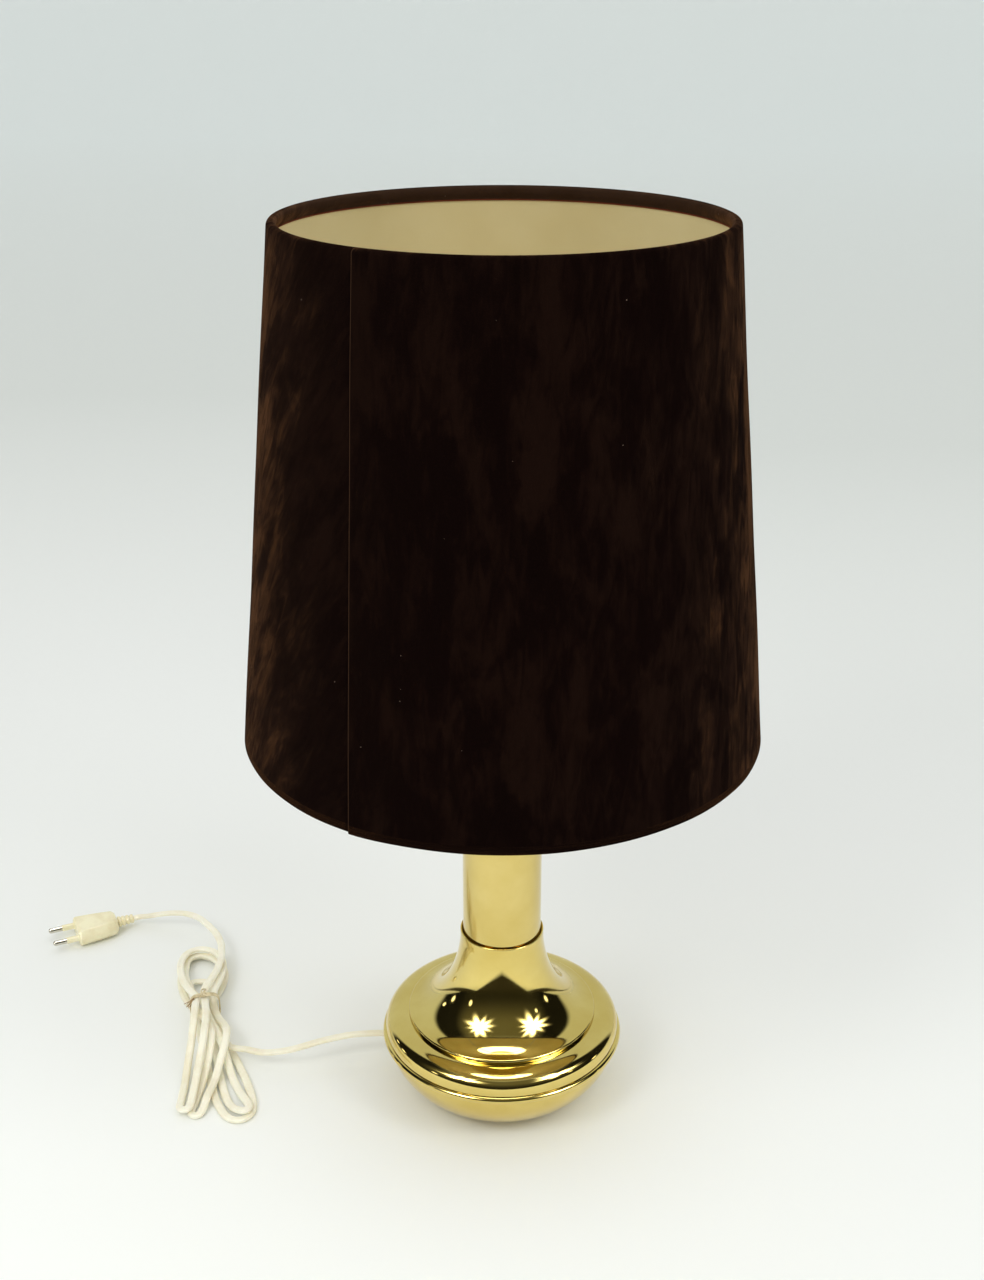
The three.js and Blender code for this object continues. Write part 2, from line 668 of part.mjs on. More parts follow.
// Hank: four turns of cord, each with a loop above the tie and one below it. The plan of the turns is drawn
// flat, as [distance above the tie, distance to the right of the hank's middle line].
const tieMiddle = p2(-212.05, 60.2);
const alongHank = p2(-0.228, 0.9737); // from the tie to the upper loops
const acrossHank = p2(alongHank.y, -alongHank.x);
const COLUMN_PITCH = CORD_WIDTH + 0.9; // between the three columns of cord inside the tie
const RIGHT = COLUMN_PITCH;
const LEFT = -COLUMN_PITCH;
const ENTRY_PLAN = [[-54.2, 20.8], [-50, 16.4], [-44.5, 12.2], [-36, 8.8], [-26, 6], [-16, 2.8], [-6, 0]];
const UPPER_PLANS = [
  [
    [0, 0], [6, 0.2], [17, 6], [31, 13.4], [46, 17.2], [59, 16], [69.5, 10.4], [75.5, 1.5], [74.5, -6.5],
    [67, -12], [52, -14.8], [36, -15], [20, -11.8], [6, LEFT], [0, LEFT],
  ],
  [
    [0, RIGHT], [6, RIGHT], [16, 6.9], [26, 7.6], [35, 6.8], [40.4, 3], [42, -3], [39, -8], [30, -9.2],
    [17, -3.6], [6, 0], [0, 0],
  ],
  [
    [0, 0], [6, 0], [16, 4.4], [30, 11.4], [46, 14.8], [58, 13.6], [68, 7.6], [72, -0.5], [68.4, -7.6],
    [54, -11.2], [38, -11.6], [20, -8.6], [6, LEFT], [0, LEFT],
  ],
  [
    [0, RIGHT], [6, RIGHT], [17, 9.4], [31, 14], [46, 16.4], [59, 15.6], [69, 10.4], [74, 2.5],
    [73, -5.5], [66.5, -11.4], [52, -14.6], [36, -14.4], [20, -10.8], [6, LEFT], [0, LEFT],
  ],
];
const LOWER_PLANS = [
  [
    [-6, LEFT], [-18, -5.8], [-35, -4.2], [-50, -3], [-70, -1.8], [-92, 0], [-103, 2.6], [-112, 6],
    [-117, 11], [-117, 17], [-112.4, 22], [-103, 24], [-92, 23.6], [-76, 21.4], [-60, 18.1], [-42, 14],
    [-24, 9.4], [-6, RIGHT],
  ],
  [
    [-6, 0], [-18, 0.4], [-35, 2.6], [-50, 4], [-79, 5.6], [-93, 7.2], [-104, 9.8], [-111, 13.4],
    [-114.2, 18], [-110.6, 21.4], [-104.4, 19.8], [-98, 18], [-86.5, 15.6], [-74.5, 13], [-59, 10.6],
    [-40, 7], [-22, 2.4], [-6, 0],
  ],
  [
    [-6, LEFT], [-16, -4.6], [-28, 0], [-41, 2.2], [-56, -0.6], [-71, -5], [-85, -10], [-95, -13.8],
    [-101, -16.4], [-106, -16], [-107.4, -12.4], [-104, -9.4], [-95, -5.8], [-80, 0.6], [-66, 5.6],
    [-53, 10.2], [-42, 12.6], [-28, 11.4], [-17, 8.6], [-6, RIGHT],
  ],
  [
    [-6, LEFT], [-20, -7.8], [-32, -9.8], [-47, -12.8], [-61, -16], [-83, -20.8], [-94, -22.8],
    [-101, -23.4], [-104.8, -20.2], [-101.4, -16.9], [-93, -14.9], [-82, -12], [-64, -7.6], [-46, -3.2],
    [-27, -0.4], [-16, 0], [-6, 0],
  ],
];
const LEAVING_PLAN = [[0, 0], [6, 0], [17, 4.4], [30, 10.4], [44, 14.4], [56, 16.2], [66, 16.8]];
const PLAN_STEP = 1.5;
const FLOOR_RISE = CORD_HEIGHT / 2 + 0.1;
const TIE_LIFT = TIE_THICKNESS + 0.5;
const TIE_REACH = 3.4; // how far from the tie's middle the cord lies on the thread
const ENTRY_HEIGHT = 10; // of the lead where it runs into the hank
const ENTRY_FALL = 0.3;
const CLIMB = 0.36; // steepest rise or fall of the cord
const SAME_STRETCH = 13; // length over which the cord isn't taken to lie on itself
const SMOOTHINGS = 14;
const STATION_TOLERANCE = 0.32;

const turnPlans = UPPER_PLANS.flatMap((upper, turn) => [upper, LOWER_PLANS[turn]]);
const hankPlan = [ENTRY_PLAN, ...turnPlans, LEAVING_PLAN];

// Evenly spaced points of the whole plan.
function planPoints() {
  const corners = hankPlan.flat().map(([along, across]) => p3(along, across, 0));
  const path = new THREE.CatmullRomCurve3(corners, false, "centripetal");
  path.arcLengthDivisions = 4000;
  return path.getSpacedPoints(Math.round(path.getLength() / PLAN_STEP));
}

// Gives each point its height: the cord is laid down turn by turn and climbs over what lies there already.
// Only the lead is laid after the first turn, because it runs in over that turn's right strand.
function layDown(points) {
  const [tieSide] = ENTRY_PLAN[ENTRY_PLAN.length - 1];
  const entryEnd = points.findIndex((point) => point.x > tieSide);
  const returns = (i) => i > 2 * entryEnd && points[i - 1].x < tieSide && points[i].x >= tieSide;
  const turnEnd = points.findIndex((_, i) => returns(i));
  const laid = points.map((_, i) => (i < entryEnd ? i + turnEnd : i));
  const apart = Math.round(SAME_STRETCH / PLAN_STEP);
  const below = points.map((point, i) => points.flatMap((other, j) => {
    const under = laid[j] < laid[i] && Math.abs(i - j) > apart;
    return under && other.distanceTo(point) < CORD_WIDTH + LAY_GAP ? [j] : [];
  }));
  const least = points.map((point, i) => {
    const entry = i < entryEnd ? ENTRY_HEIGHT - ENTRY_FALL * PLAN_STEP * i : 0;
    return Math.max(FLOOR_RISE + (Math.abs(point.x) < TIE_REACH ? TIE_LIFT : 0), entry);
  });
  let heights = least;
  for (let round = 0; round < 3 * UPPER_PLANS.length; round += 1) {
    const over = (i) => below[i].map((j) => heights[j] + LAYER_RISE);
    const needed = least.map((height, i) => Math.max(height, ...over(i)));
    heights = [...needed];
    for (let i = 1; i < heights.length; i += 1) {
      heights[i] = Math.max(heights[i], heights[i - 1] - CLIMB * PLAN_STEP);
    }
    for (let i = heights.length - 2; i >= 0; i -= 1) {
      heights[i] = Math.max(heights[i], heights[i + 1] - CLIMB * PLAN_STEP);
    }
    for (let pass = 0; pass < SMOOTHINGS; pass += 1) {
      const sagging = heights;
      heights = sagging.map((height, i) => {
        const between = (sagging[Math.max(i - 1, 0)] + sagging[Math.min(i + 1, sagging.length - 1)]) / 2;
        return i > 0 && i + 1 < sagging.length ? Math.max(needed[i], between) : height;
      });
    }
  }
  return heights;
}

// Keeps the points that the path needs to stay within the tolerance.
function thinned(points) {
  const keep = new Set([0, points.length - 1]);
  const open = [[0, points.length - 1]];
  while (open.length > 0) {
    const [from, to] = open.pop();
    const line = new THREE.Line3(points[from], points[to]);
    let far = from;
    let most = STATION_TOLERANCE;
    for (let i = from + 1; i < to; i += 1) {
      const off = line.closestPointToPoint(points[i], true, p3(0, 0, 0)).distanceTo(points[i]);
      if (off > most) {
        most = off;
        far = i;
      }
    }
    if (far !== from) {
      keep.add(far);
      open.push([from, far], [far, to]);
    }
  }
  return points.filter((_, i) => keep.has(i));
}

const flatHank = planPoints();
const hankHeights = layDown(flatHank);
const hankPath = flatHank.map((point, i) => p3(
  tieMiddle.x + alongHank.x * point.x + acrossHank.x * point.y,
  tieMiddle.y + alongHank.y * point.x + acrossHank.y * point.y,
  hankHeights[i],
));

// Closed skin through cross-sections of equal count.
function lofted(sections) {
  const count = sections[0].length;
  const vertices = sections.flat().flatMap((point) => [point.x, point.y, point.z]);
  const triangles = [];
  for (let i = 0; i + 1 < sections.length; i += 1) {
    for (let k = 0; k < count; k += 1) {
      const next = (k + 1) % count;
      const a = i * count;
      const b = a + count;
      triangles.push(a + k, a + next, b + k, a + next, b + next, b + k);
    }
  }
  const last = (sections.length - 1) * count;
  for (let k = 1; k + 1 < count; k += 1) {
    triangles.push(0, k + 1, k);
    triangles.push(last, last + k, last + k + 1);
  }
  const geometry = new THREE.BufferGeometry();
  geometry.setAttribute("position", new THREE.Float32BufferAttribute(vertices, 3));
  geometry.setIndex(triangles);
  return geometry;
}

// A flat cord swept along points, its wide side level, closed at both ends.
function flatSweep(points) {
  return lofted(points.map((point, i) => {
    const before = points[Math.max(i - 1, 0)];
    const after = points[Math.min(i + 1, points.length - 1)];
    const ahead = after.clone().sub(before).normalize();
    const side = ahead.clone().cross(p3(0, 0, 1)).normalize();
    const up = side.clone().cross(ahead);
    return polygon(ROUND_WIRE, CORD_WIDTH / 2).map((corner) => point.clone()
      .addScaledVector(side, corner.x)
      .addScaledVector(up, (corner.y * CORD_HEIGHT) / (CORD_WIDTH * Math.sin(Math.PI / 3))));
  }));
}

function pathLength(points) {
  let sum = 0;
  for (let i = 1; i < points.length; i += 1) sum += points[i].distanceTo(points[i - 1]);
  return sum;
}

// The least distance between the skins of two stretches of the hank, measured on points of its skin.
function leastGap(points) {
  const stations = [];
  for (let i = 0; i + 1 < points.length; i += 1) {
    const ahead = points[i + 1].clone().sub(points[i]);
    const side = ahead.clone().normalize().cross(p3(0, 0, 1)).normalize();
    const steps = Math.ceil(ahead.length() / 1.5);
    for (let s = 0; s < steps; s += 1) {
      stations.push({ at: points[i].clone().addScaledVector(ahead, s / steps), side });
    }
  }
  const skin = (station) => Array.from({ length: 12 }, (_, k) => {
    const angle = (2 * Math.PI * k) / 12;
    return station.at.clone()
      .addScaledVector(station.side, (CORD_WIDTH / 2) * Math.cos(angle))
      .add(p3(0, 0, (CORD_HEIGHT / 2) * Math.sin(angle)));
  });
  const apart = 18; // stations along the cord that count as the same stretch
  let least = Infinity;
  for (let i = 0; i < stations.length; i += 1) {
    for (let j = i + apart; j < stations.length; j += 1) {
      if (stations[i].at.distanceTo(stations[j].at) > CORD_WIDTH + 2) continue;
      const others = skin(stations[j]);
      for (const a of skin(stations[i])) for (const b of others) least = Math.min(least, a.distanceTo(b));
    }
  }
  return least;
}

const hankRoute = thinned(hankPath);

// The free stretches of cord, from the bush to the hank and from the hank to the plug.
const outletDirection = p3(Math.cos(radians(OUTLET_AZIMUTH)), Math.sin(radians(OUTLET_AZIMUTH)), 0);
const leadReach = outletRadius() + BUSH_OUTWARD + FIT;
const leadStart = outletDirection.clone().multiplyScalar(leadReach).setZ(OUTLET_HEIGHT);
const hankAhead = (i) => hankRoute[i + 1].clone().sub(hankRoute[i]).normalize();
const leadEnd = hankRoute[0].clone().addScaledVector(hankAhead(0), -CORD_GAP);
const leadRoute = [
  leadStart,
  leadStart.clone().addScaledVector(outletDirection, CORD_WIDTH),
  p3(-102.8, 15, 19.8),
  p3(-113.6, 12.5, 19.2),
  p3(-124.3, 9.3, 18.6),
  p3(-137.5, 4.3, 17.4),
  p3(-149.5, 1.8, 16),
  p3(-163.5, 3.4, 13.6),
  leadEnd.clone().addScaledVector(hankAhead(0), -CORD_WIDTH),
  leadEnd,
];

const hankLast = hankRoute.length - 1;
const tailStart = hankRoute[hankLast].clone().addScaledVector(hankAhead(hankLast - 1), CORD_GAP);
const plugAhead = p3(Math.cos(radians(PLUG_HEADING)), Math.sin(radians(PLUG_HEADING)), 0);
const plugMiddle = PLUG_HEIGHT / 2;
const plugFace = p3(PLUG_FACE.x, PLUG_FACE.y, plugMiddle);
const plugBack = plugFace.clone().addScaledVector(plugAhead, -PLUG_LENGTH);
const tailEnd = plugBack.clone().addScaledVector(plugAhead, -(RELIEF_LENGTH + 2 * FIT));
const tailRoute = [
  tailStart,
  tailStart.clone().addScaledVector(hankAhead(hankLast - 1), CORD_WIDTH),
  p3(-218.3, 147.7, 14.2),
  p3(-225.3, 155.5, 15.8),
  p3(-233.5, 163.9, 16.8),
  p3(-242.9, 169, 17),
  p3(-253.7, 172, 16),
  p3(-266, 174.2, 13.4),
  p3(-276, 176, 10.4),
  tailEnd.clone().addScaledVector(plugAhead, -CORD_WIDTH),
  tailEnd,
];

function freeStretch(route, steps) {
  const path = new THREE.CatmullRomCurve3(route, false, "centripetal");
  const section = new THREE.Shape(cordSection());
  return new THREE.ExtrudeGeometry(section, { steps, bevelEnabled: false, extrudePath: path });
}

// A band of thread round the pile inside the tie.
function hankTie() {
  const inside = hankHeights.filter((_, i) => Math.abs(flatHank[i].x) < TIE_WIDTH);
  const half = COLUMN_PITCH + CORD_WIDTH / 2 + TIE_ROOM;
  const low = FLOOR_RISE + TIE_LIFT - CORD_HEIGHT / 2 - 0.4;
  const high = Math.max(...inside) + CORD_HEIGHT / 2 + TIE_ROOM;
  const corner = 2.4;
  const outline = (grow) => [
    p2(-half - grow, low + corner), p2(-half + corner - grow, low - grow),
    p2(half - corner + grow, low - grow),
    p2(half + grow, low + corner), p2(half + grow, high - corner), p2(half - corner + grow, high + grow),
    p2(-half + corner - grow, high + grow), p2(-half - grow, high - corner),
  ];
  const turn = Math.atan2(acrossHank.y, acrossHank.x);
  return extruded(outline(TIE_THICKNESS), TIE_WIDTH, outline(0))
    .translate(0, 0, -TIE_WIDTH / 2)
    .rotateX(Math.PI / 2)
    .rotateZ(turn)
    .translate(tieMiddle.x, tieMiddle.y, 0);
}

// Places a piece made along +X, its start at the origin, on the plug's axis.
function onPlug(geometry, reach, aside = 0) {
  return geometry
    .translate(reach, aside, 0)
    .rotateZ(radians(PLUG_HEADING))
    .translate(plugBack.x, plugBack.y, plugMiddle);
}

function bevelledSection(x, width, height) {
  const w = width / 2;
  const h = height / 2;
  const bevel = Math.min(PLUG_BEVEL, h * 0.55);
  return [
    p3(x, w, bevel - h), p3(x, w, h - bevel), p3(x, w - bevel, h), p3(x, bevel - w, h),
    p3(x, -w, h - bevel), p3(x, -w, bevel - h), p3(x, bevel - w, -h), p3(x, w - bevel, -h),
  ];
}

function plugBody() {
  return onPlug(lofted([
    bevelledSection(0, PLUG_BACK_WIDTH - 6, PLUG_HEIGHT - 3),
    bevelledSection(2.5, PLUG_BACK_WIDTH, PLUG_HEIGHT - 0.4),
    bevelledSection(PLUG_LENGTH * 0.45, mix(PLUG_BACK_WIDTH, PLUG_FRONT_WIDTH, 0.5), PLUG_HEIGHT),
    bevelledSection(PLUG_LENGTH - 1.5, PLUG_FRONT_WIDTH, PLUG_HEIGHT),
    bevelledSection(PLUG_LENGTH, PLUG_FRONT_WIDTH - 2, PLUG_HEIGHT - 2),
  ]), 0);
}

function plugRelief() {
  return onPlug(lofted([
    bevelledSection(-RELIEF_LENGTH - FIT, CORD_WIDTH + 1, CORD_HEIGHT + 1),
    bevelledSection(-RELIEF_LENGTH / 2, CORD_WIDTH + 2.4, RELIEF_HEIGHT - 0.6),
    bevelledSection(-FIT, CORD_WIDTH + 4, RELIEF_HEIGHT),
  ]), 0);
}

function pinSleeve(side) {
  const sleeve = new THREE.CylinderGeometry(SLEEVE_RADIUS, SLEEVE_RADIUS, SLEEVE_LENGTH, ROUND_SMALL / 2)
    .rotateZ(-Math.PI / 2);
  return onPlug(sleeve, PLUG_LENGTH + FIT + SLEEVE_LENGTH / 2, (side * PIN_SPACING) / 2);
}

function plugPin(side) {
  const bare = PIN_LENGTH - SLEEVE_LENGTH;
  const profile = [
    p2(0, 0), p2(PIN_RADIUS, 0), p2(PIN_RADIUS, bare - 1.2), p2(PIN_RADIUS - 1, bare), p2(0, bare),
  ];
  const pin = new THREE.LatheGeometry(profile, ROUND_SMALL / 2).rotateZ(-Math.PI / 2);
  return onPlug(pin, PLUG_LENGTH + 2 * FIT + SLEEVE_LENGTH, (side * PIN_SPACING) / 2);
}

// Base and column.
add("felt_pad", feltPad(), "felt");
add("lower_bowl", lowerBowl(), "brass");
add("bottom_washer", bottomWasher(), "steel");
add("bottom_nut", hexNut(ROD_BOTTOM), "steel");
add("ballast_weight", ballastWeight(), "iron");
add("ballast_nut", hexNut(ballastTop + FIT), "steel");
add("threaded_rod", turned(ringProfile(ROD_BORE_RADIUS, ROD_RADIUS, ROD_BOTTOM, rodTop), ROUND_SMALL), "steel");
add("shoulder_ring", shoulderRing(), "brass");
add("neck_bell", neckBell(), "brass");
add("neck_bridge", neckBridge(), "steel");
add("column_tube", columnTube(), "brass");
add("column_cap", columnCap(), "brass");
add("cord_bush", cordBush(), "cream");

// Lampholder and bulb.
add("holder_dome", holderDome(), "bakelite");
add("holder_core", holderCore(), "porcelain");
add("holder_skirt", holderSkirt(), "bakelite");
add("screw_shell", screwShell(), "brass");
add("centre_contact", centreContact(), "brass");
add("shade_ring", shadeRing(), "bakelite");
add("switch_bar", switchBar(), "bakelite");
add("bulb_tip", bulbTip(), "steel");
add("bulb_cap", bulbCap(), "steel");
add("bulb_glass", bulbGlass(), "glass");

// Shade.
add("shade_cover", shadeCover(), "velvet");
add("shade_lining", shadeLining(), "lining");
add("upper_wire_ring", wireRing(upperRingHeight), "steel");
add("lower_wire_ring", wireRing(lowerRingHeight), "steel");
add("fitter_ring", fitterRing(), "steel");
for (let i = 0; i < ARM_COUNT; i += 1) add(`spider_arm_${i + 1}`, spiderArm(i), "steel");

// Cord and plug.
add("cord_lead", freeStretch(leadRoute, 22), "cream");
add("cord_hank", flatSweep(hankRoute), "cream");
add("cord_tail", freeStretch(tailRoute, 18), "cream");
add("hank_tie", hankTie(), "thread");
add("plug_body", plugBody(), "cream");
add("plug_strain_relief", plugRelief(), "cream");
add("pin_sleeve_1", pinSleeve(1), "cream");
add("pin_sleeve_2", pinSleeve(-1), "cream");
add("plug_pin_1", plugPin(1), "steel");
add("plug_pin_2", plugPin(-1), "steel");

console.log(`hank: ${pathLength(hankRoute).toFixed(0)} mm of cord`);
console.log(`least gap of the hank to itself: ${leastGap(hankRoute).toFixed(2)} mm`);
console.log(`lead ${pathLength(leadRoute).toFixed(0)} mm, tail ${pathLength(tailRoute).toFixed(0)} mm`);

export default lamp;
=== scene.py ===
# %% [markdown]
# # A brass table lamp with a velvet drum shade
# The lamp has a turned base of three spun brass shells, a drawn brass column, a screw lampholder
# with its bulb, a velvet shade on a wire spider, and a flat two-core lead that is tied in a hank.
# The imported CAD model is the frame: each visible piece is built around it, in the same place and
# in metres, and moves with one of its bodies.

# %% Load the frame
import math

import bpy
import numpy as np
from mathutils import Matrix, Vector


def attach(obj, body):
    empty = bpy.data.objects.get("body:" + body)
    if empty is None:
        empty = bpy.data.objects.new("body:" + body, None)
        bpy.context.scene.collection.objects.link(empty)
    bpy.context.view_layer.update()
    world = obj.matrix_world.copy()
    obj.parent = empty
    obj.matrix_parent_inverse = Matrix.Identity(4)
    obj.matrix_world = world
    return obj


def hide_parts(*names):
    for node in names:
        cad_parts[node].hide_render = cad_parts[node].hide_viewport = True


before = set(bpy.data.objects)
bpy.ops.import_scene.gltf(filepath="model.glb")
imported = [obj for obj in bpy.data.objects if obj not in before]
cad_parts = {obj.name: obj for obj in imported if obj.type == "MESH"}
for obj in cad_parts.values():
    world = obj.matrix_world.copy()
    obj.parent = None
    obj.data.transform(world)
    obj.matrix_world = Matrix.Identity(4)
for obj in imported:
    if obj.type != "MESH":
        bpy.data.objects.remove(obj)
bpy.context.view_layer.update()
MM = 0.001

# %% [markdown]
# ## The camera
# The camera stands 0.88 m in front of the lamp, a little above its top, and looks down at it. So
# the shade's upper rim shows as an ellipse, with the lining of the far side in it.

# %% Camera
CAMERA_PLACE = (-0.0065, -0.87916, 0.70018)
CAMERA_PITCH = 23.29  # degrees below the horizon
CAMERA_LENS = 44.58  # mm, on a sensor 36 mm high


def place_camera():
    """Sets up the studio camera as the scene's own."""
    lens = bpy.data.cameras.new("studio_camera")
    lens.sensor_width = 36
    lens.lens = CAMERA_LENS
    lens.clip_end = 200
    camera = bpy.data.objects.new("studio_camera", lens)
    bpy.context.scene.collection.objects.link(camera)
    camera.location = CAMERA_PLACE
    camera.rotation_euler = (math.radians(90 - CAMERA_PITCH), 0, 0)
    bpy.context.scene.camera = camera


place_camera()

# %% [markdown]
# ## Small tools for nodes and materials
# Shader trees and geometry trees are both built from nodes, so one small function serves them
# all: it adds a node, sets its options, and fills or links its sockets. An input can be a number,
# a colour, another node or one of that node's outputs. Colours are written as they are seen, in
# sRGB hex, and one function turns them into the linear numbers that light needs.


# %% Add a node
def linear(hex_colour):
    """Turns an sRGB hex colour into linear red, green and blue, with an alpha of 1."""
    channels = [int(hex_colour[i : i + 2], 16) / 255 for i in (1, 3, 5)]
    return [c / 12.92 if c <= 0.04045 else ((c + 0.055) / 1.055) ** 2.4 for c in channels] + [1.0]


def add(tree, kind, inputs=None, stops=(), **settings):
    """Adds a node. An input is a number, a hex colour, or a node or output to link.

    Stops are the positions and hex colours of a colour ramp, from left to right.
    """
    made = tree.nodes.new(kind)
    for name, value in settings.items():
        setattr(made, name, value)
    for name, value in (inputs or {}).items():
        if isinstance(value, bpy.types.Node):
            value = value.outputs[0]
        if isinstance(value, bpy.types.NodeSocket):
            tree.links.new(value, made.inputs[name])
        else:
            made.inputs[name].default_value = linear(value) if isinstance(value, str) else value
    if stops:
        elements = made.color_ramp.elements
        while len(elements) < len(stops):
            elements.new(0.5)
        for element, (position, hex_colour) in zip(elements, stops):
            element.position = position
            element.color = linear(hex_colour)
    return made


# %% Start a finish
def new_finish(name, **sockets):
    """A material whose shader has these constants; the patterns are linked to it afterwards."""
    finish = bpy.data.materials.new(name)
    finish.use_nodes = True
    shader = finish.node_tree.nodes["Principled BSDF"]
    for socket, value in sockets.items():
        shader.inputs[socket.replace("_", " ")].default_value = value
    return finish, finish.node_tree, shader


# %% [markdown]
# ## Cream PVC
# The lead and the plug are soft PVC, extruded and moulded. PVC of this age has gone from white
# to cream, has a soft gloss, and lets a little light in. Handling leaves faint grey-brown dirt
# that changes over centimetres, and a fine grain of a third of a millimetre dulls the gloss.


# %% Cream PVC
def pvc(name, clean, soiled, roughness):
    """Soft PVC whose clean colour is soiled in clouds, with a fine grain."""
    finish, tree, shader = new_finish(name, Roughness=roughness, IOR=1.53, Subsurface_Weight=0.12)
    shader.inputs["Subsurface Radius"].default_value = (0.003, 0.002, 0.001)
    spot = add(tree, "ShaderNodeTexCoord").outputs["Object"]
    dirt = add(tree, "ShaderNodeTexNoise", {"Vector": spot, "Scale": 38.0, "Detail": 5.0, "Roughness": 0.65})
    colour = add(tree, "ShaderNodeValToRGB", {"Fac": dirt}, [(0.38, soiled), (0.56, clean)])
    tree.links.new(colour.outputs["Color"], shader.inputs["Base Color"])
    grain = add(tree, "ShaderNodeTexNoise", {"Vector": spot, "Scale": 1 / (0.35 * MM), "Detail": 2.0})
    bump = add(tree, "ShaderNodeBump", {"Height": grain, "Strength": 0.12, "Distance": 0.06 * MM})
    tree.links.new(bump.outputs["Normal"], shader.inputs["Normal"])
    return finish


cord_pvc = pvc("extruded_cream_pvc", "#fbf7e3", "#f1ead0", 0.4)
plug_pvc = pvc("moulded_cream_pvc", "#faf3cf", "#ece1b8", 0.27)

# %% [markdown]
# ## The lead
# The lead leaves a bush low in the base, hangs over to a hank of four turns that are tied in the
# middle, and comes out of it in an arch to the plug. It is one flat two-core flex, 5.4 mm wide
# and 3.2 mm thick. The points below are the route of the CAD solids, so the visible flex lies in
# the same place. A centripetal spline runs through them without overshooting, also where close
# points follow distant ones. A few rounds of averaging then take off the small corners that a
# real flex would never keep.

# %% Helpers along a line
CORD_WIDTH = 5.4
CORD_HEIGHT = 3.2


def mix(a, b, t):
    """The value at a share t of the way from a to b."""
    return a + (b - a) * t


def rise(t):
    """A smooth step: 0 up to t = 0, 1 from t = 1, and an S-shaped rise between them."""
    s = min(max(t, 0.0), 1.0)
    return s * s * (3 - 2 * s)


def unit(vector):
    """The vector's direction, with length 1."""
    return np.asarray(vector, float) / np.linalg.norm(vector)


def smooth_path(points, spacing):
    """A centripetal spline through the points, with a new point about every spacing."""
    points = np.array(points, float)
    ends = np.vstack([2 * points[0] - points[1], points, 2 * points[-1] - points[-2]])
    line = []
    for a, b, c, d in zip(ends, ends[1:], ends[2:], ends[3:]):
        t1 = np.linalg.norm(b - a) ** 0.5
        t2 = t1 + np.linalg.norm(c - b) ** 0.5
        t3 = t2 + np.linalg.norm(d - c) ** 0.5
        steps = max(1, round(float(np.linalg.norm(c - b)) / spacing))
        for t in np.linspace(t1, t2, steps, endpoint=False):
            ab = mix(a, b, t / t1)
            bc = mix(b, c, (t - t1) / (t2 - t1))
            cd = mix(c, d, (t - t2) / (t3 - t2))
            line.append(mix(mix(ab, bc, t / t2), mix(bc, cd, (t - t1) / (t3 - t1)), (t - t1) / (t2 - t1)))
    return np.array(line + [points[-1]])


def even_points(points, spacing):
    """Evenly spaced points along the smooth path."""
    line = smooth_path(points, spacing / 3)
    run = np.concatenate([[0], np.cumsum(np.linalg.norm(np.diff(line, axis=0), axis=1))])
    even = np.linspace(0, run[-1], round(run[-1] / spacing) + 1)
    return np.stack([np.interp(even, run, column) for column in line.T], axis=1)


# %% [markdown]
# ## The hank
# Each turn of the hank has a loop above the tie and one below it, and no two are alike. The plan
# of the turns is drawn flat, in mm above the tie and mm to the right of the hank's middle line.
# Inside the tie the flex lies in three columns.

# %% The hank's plan
TIE_PLACE = (-212.05, 60.2)
ALONG_HANK = (-0.228, 0.9737)  # from the tie to the upper loops
ACROSS_HANK = (0.9737, 0.228)
COLUMN_PITCH = CORD_WIDTH + 0.9
RIGHT, LEFT = COLUMN_PITCH, -COLUMN_PITCH
ENTRY_PLAN = [(-54.2, 20.8), (-50, 16.4), (-44.5, 12.2), (-36, 8.8), (-26, 6), (-16, 2.8), (-6, 0)]
UPPER_PLANS = [
    [
        (0, 0), (6, 0.2), (17, 6), (31, 13.4), (46, 17.2), (59, 16), (69.5, 10.4), (75.5, 1.5), (74.5, -6.5),
        (67, -12), (52, -14.8), (36, -15), (20, -11.8), (6, LEFT), (0, LEFT),
    ],
    [
        (0, RIGHT), (6, RIGHT), (16, 6.9), (26, 7.6), (35, 6.8), (40.4, 3), (42, -3), (39, -8), (30, -9.2),
        (17, -3.6), (6, 0), (0, 0),
    ],
    [
        (0, 0), (6, 0), (16, 4.4), (30, 11.4), (46, 14.8), (58, 13.6), (68, 7.6), (72, -0.5), (68.4, -7.6),
        (54, -11.2), (38, -11.6), (20, -8.6), (6, LEFT), (0, LEFT),
    ],
    [
        (0, RIGHT), (6, RIGHT), (17, 9.4), (31, 14), (46, 16.4), (59, 15.6), (69, 10.4), (74, 2.5),
        (73, -5.5), (66.5, -11.4), (52, -14.6), (36, -14.4), (20, -10.8), (6, LEFT), (0, LEFT),
    ],
]
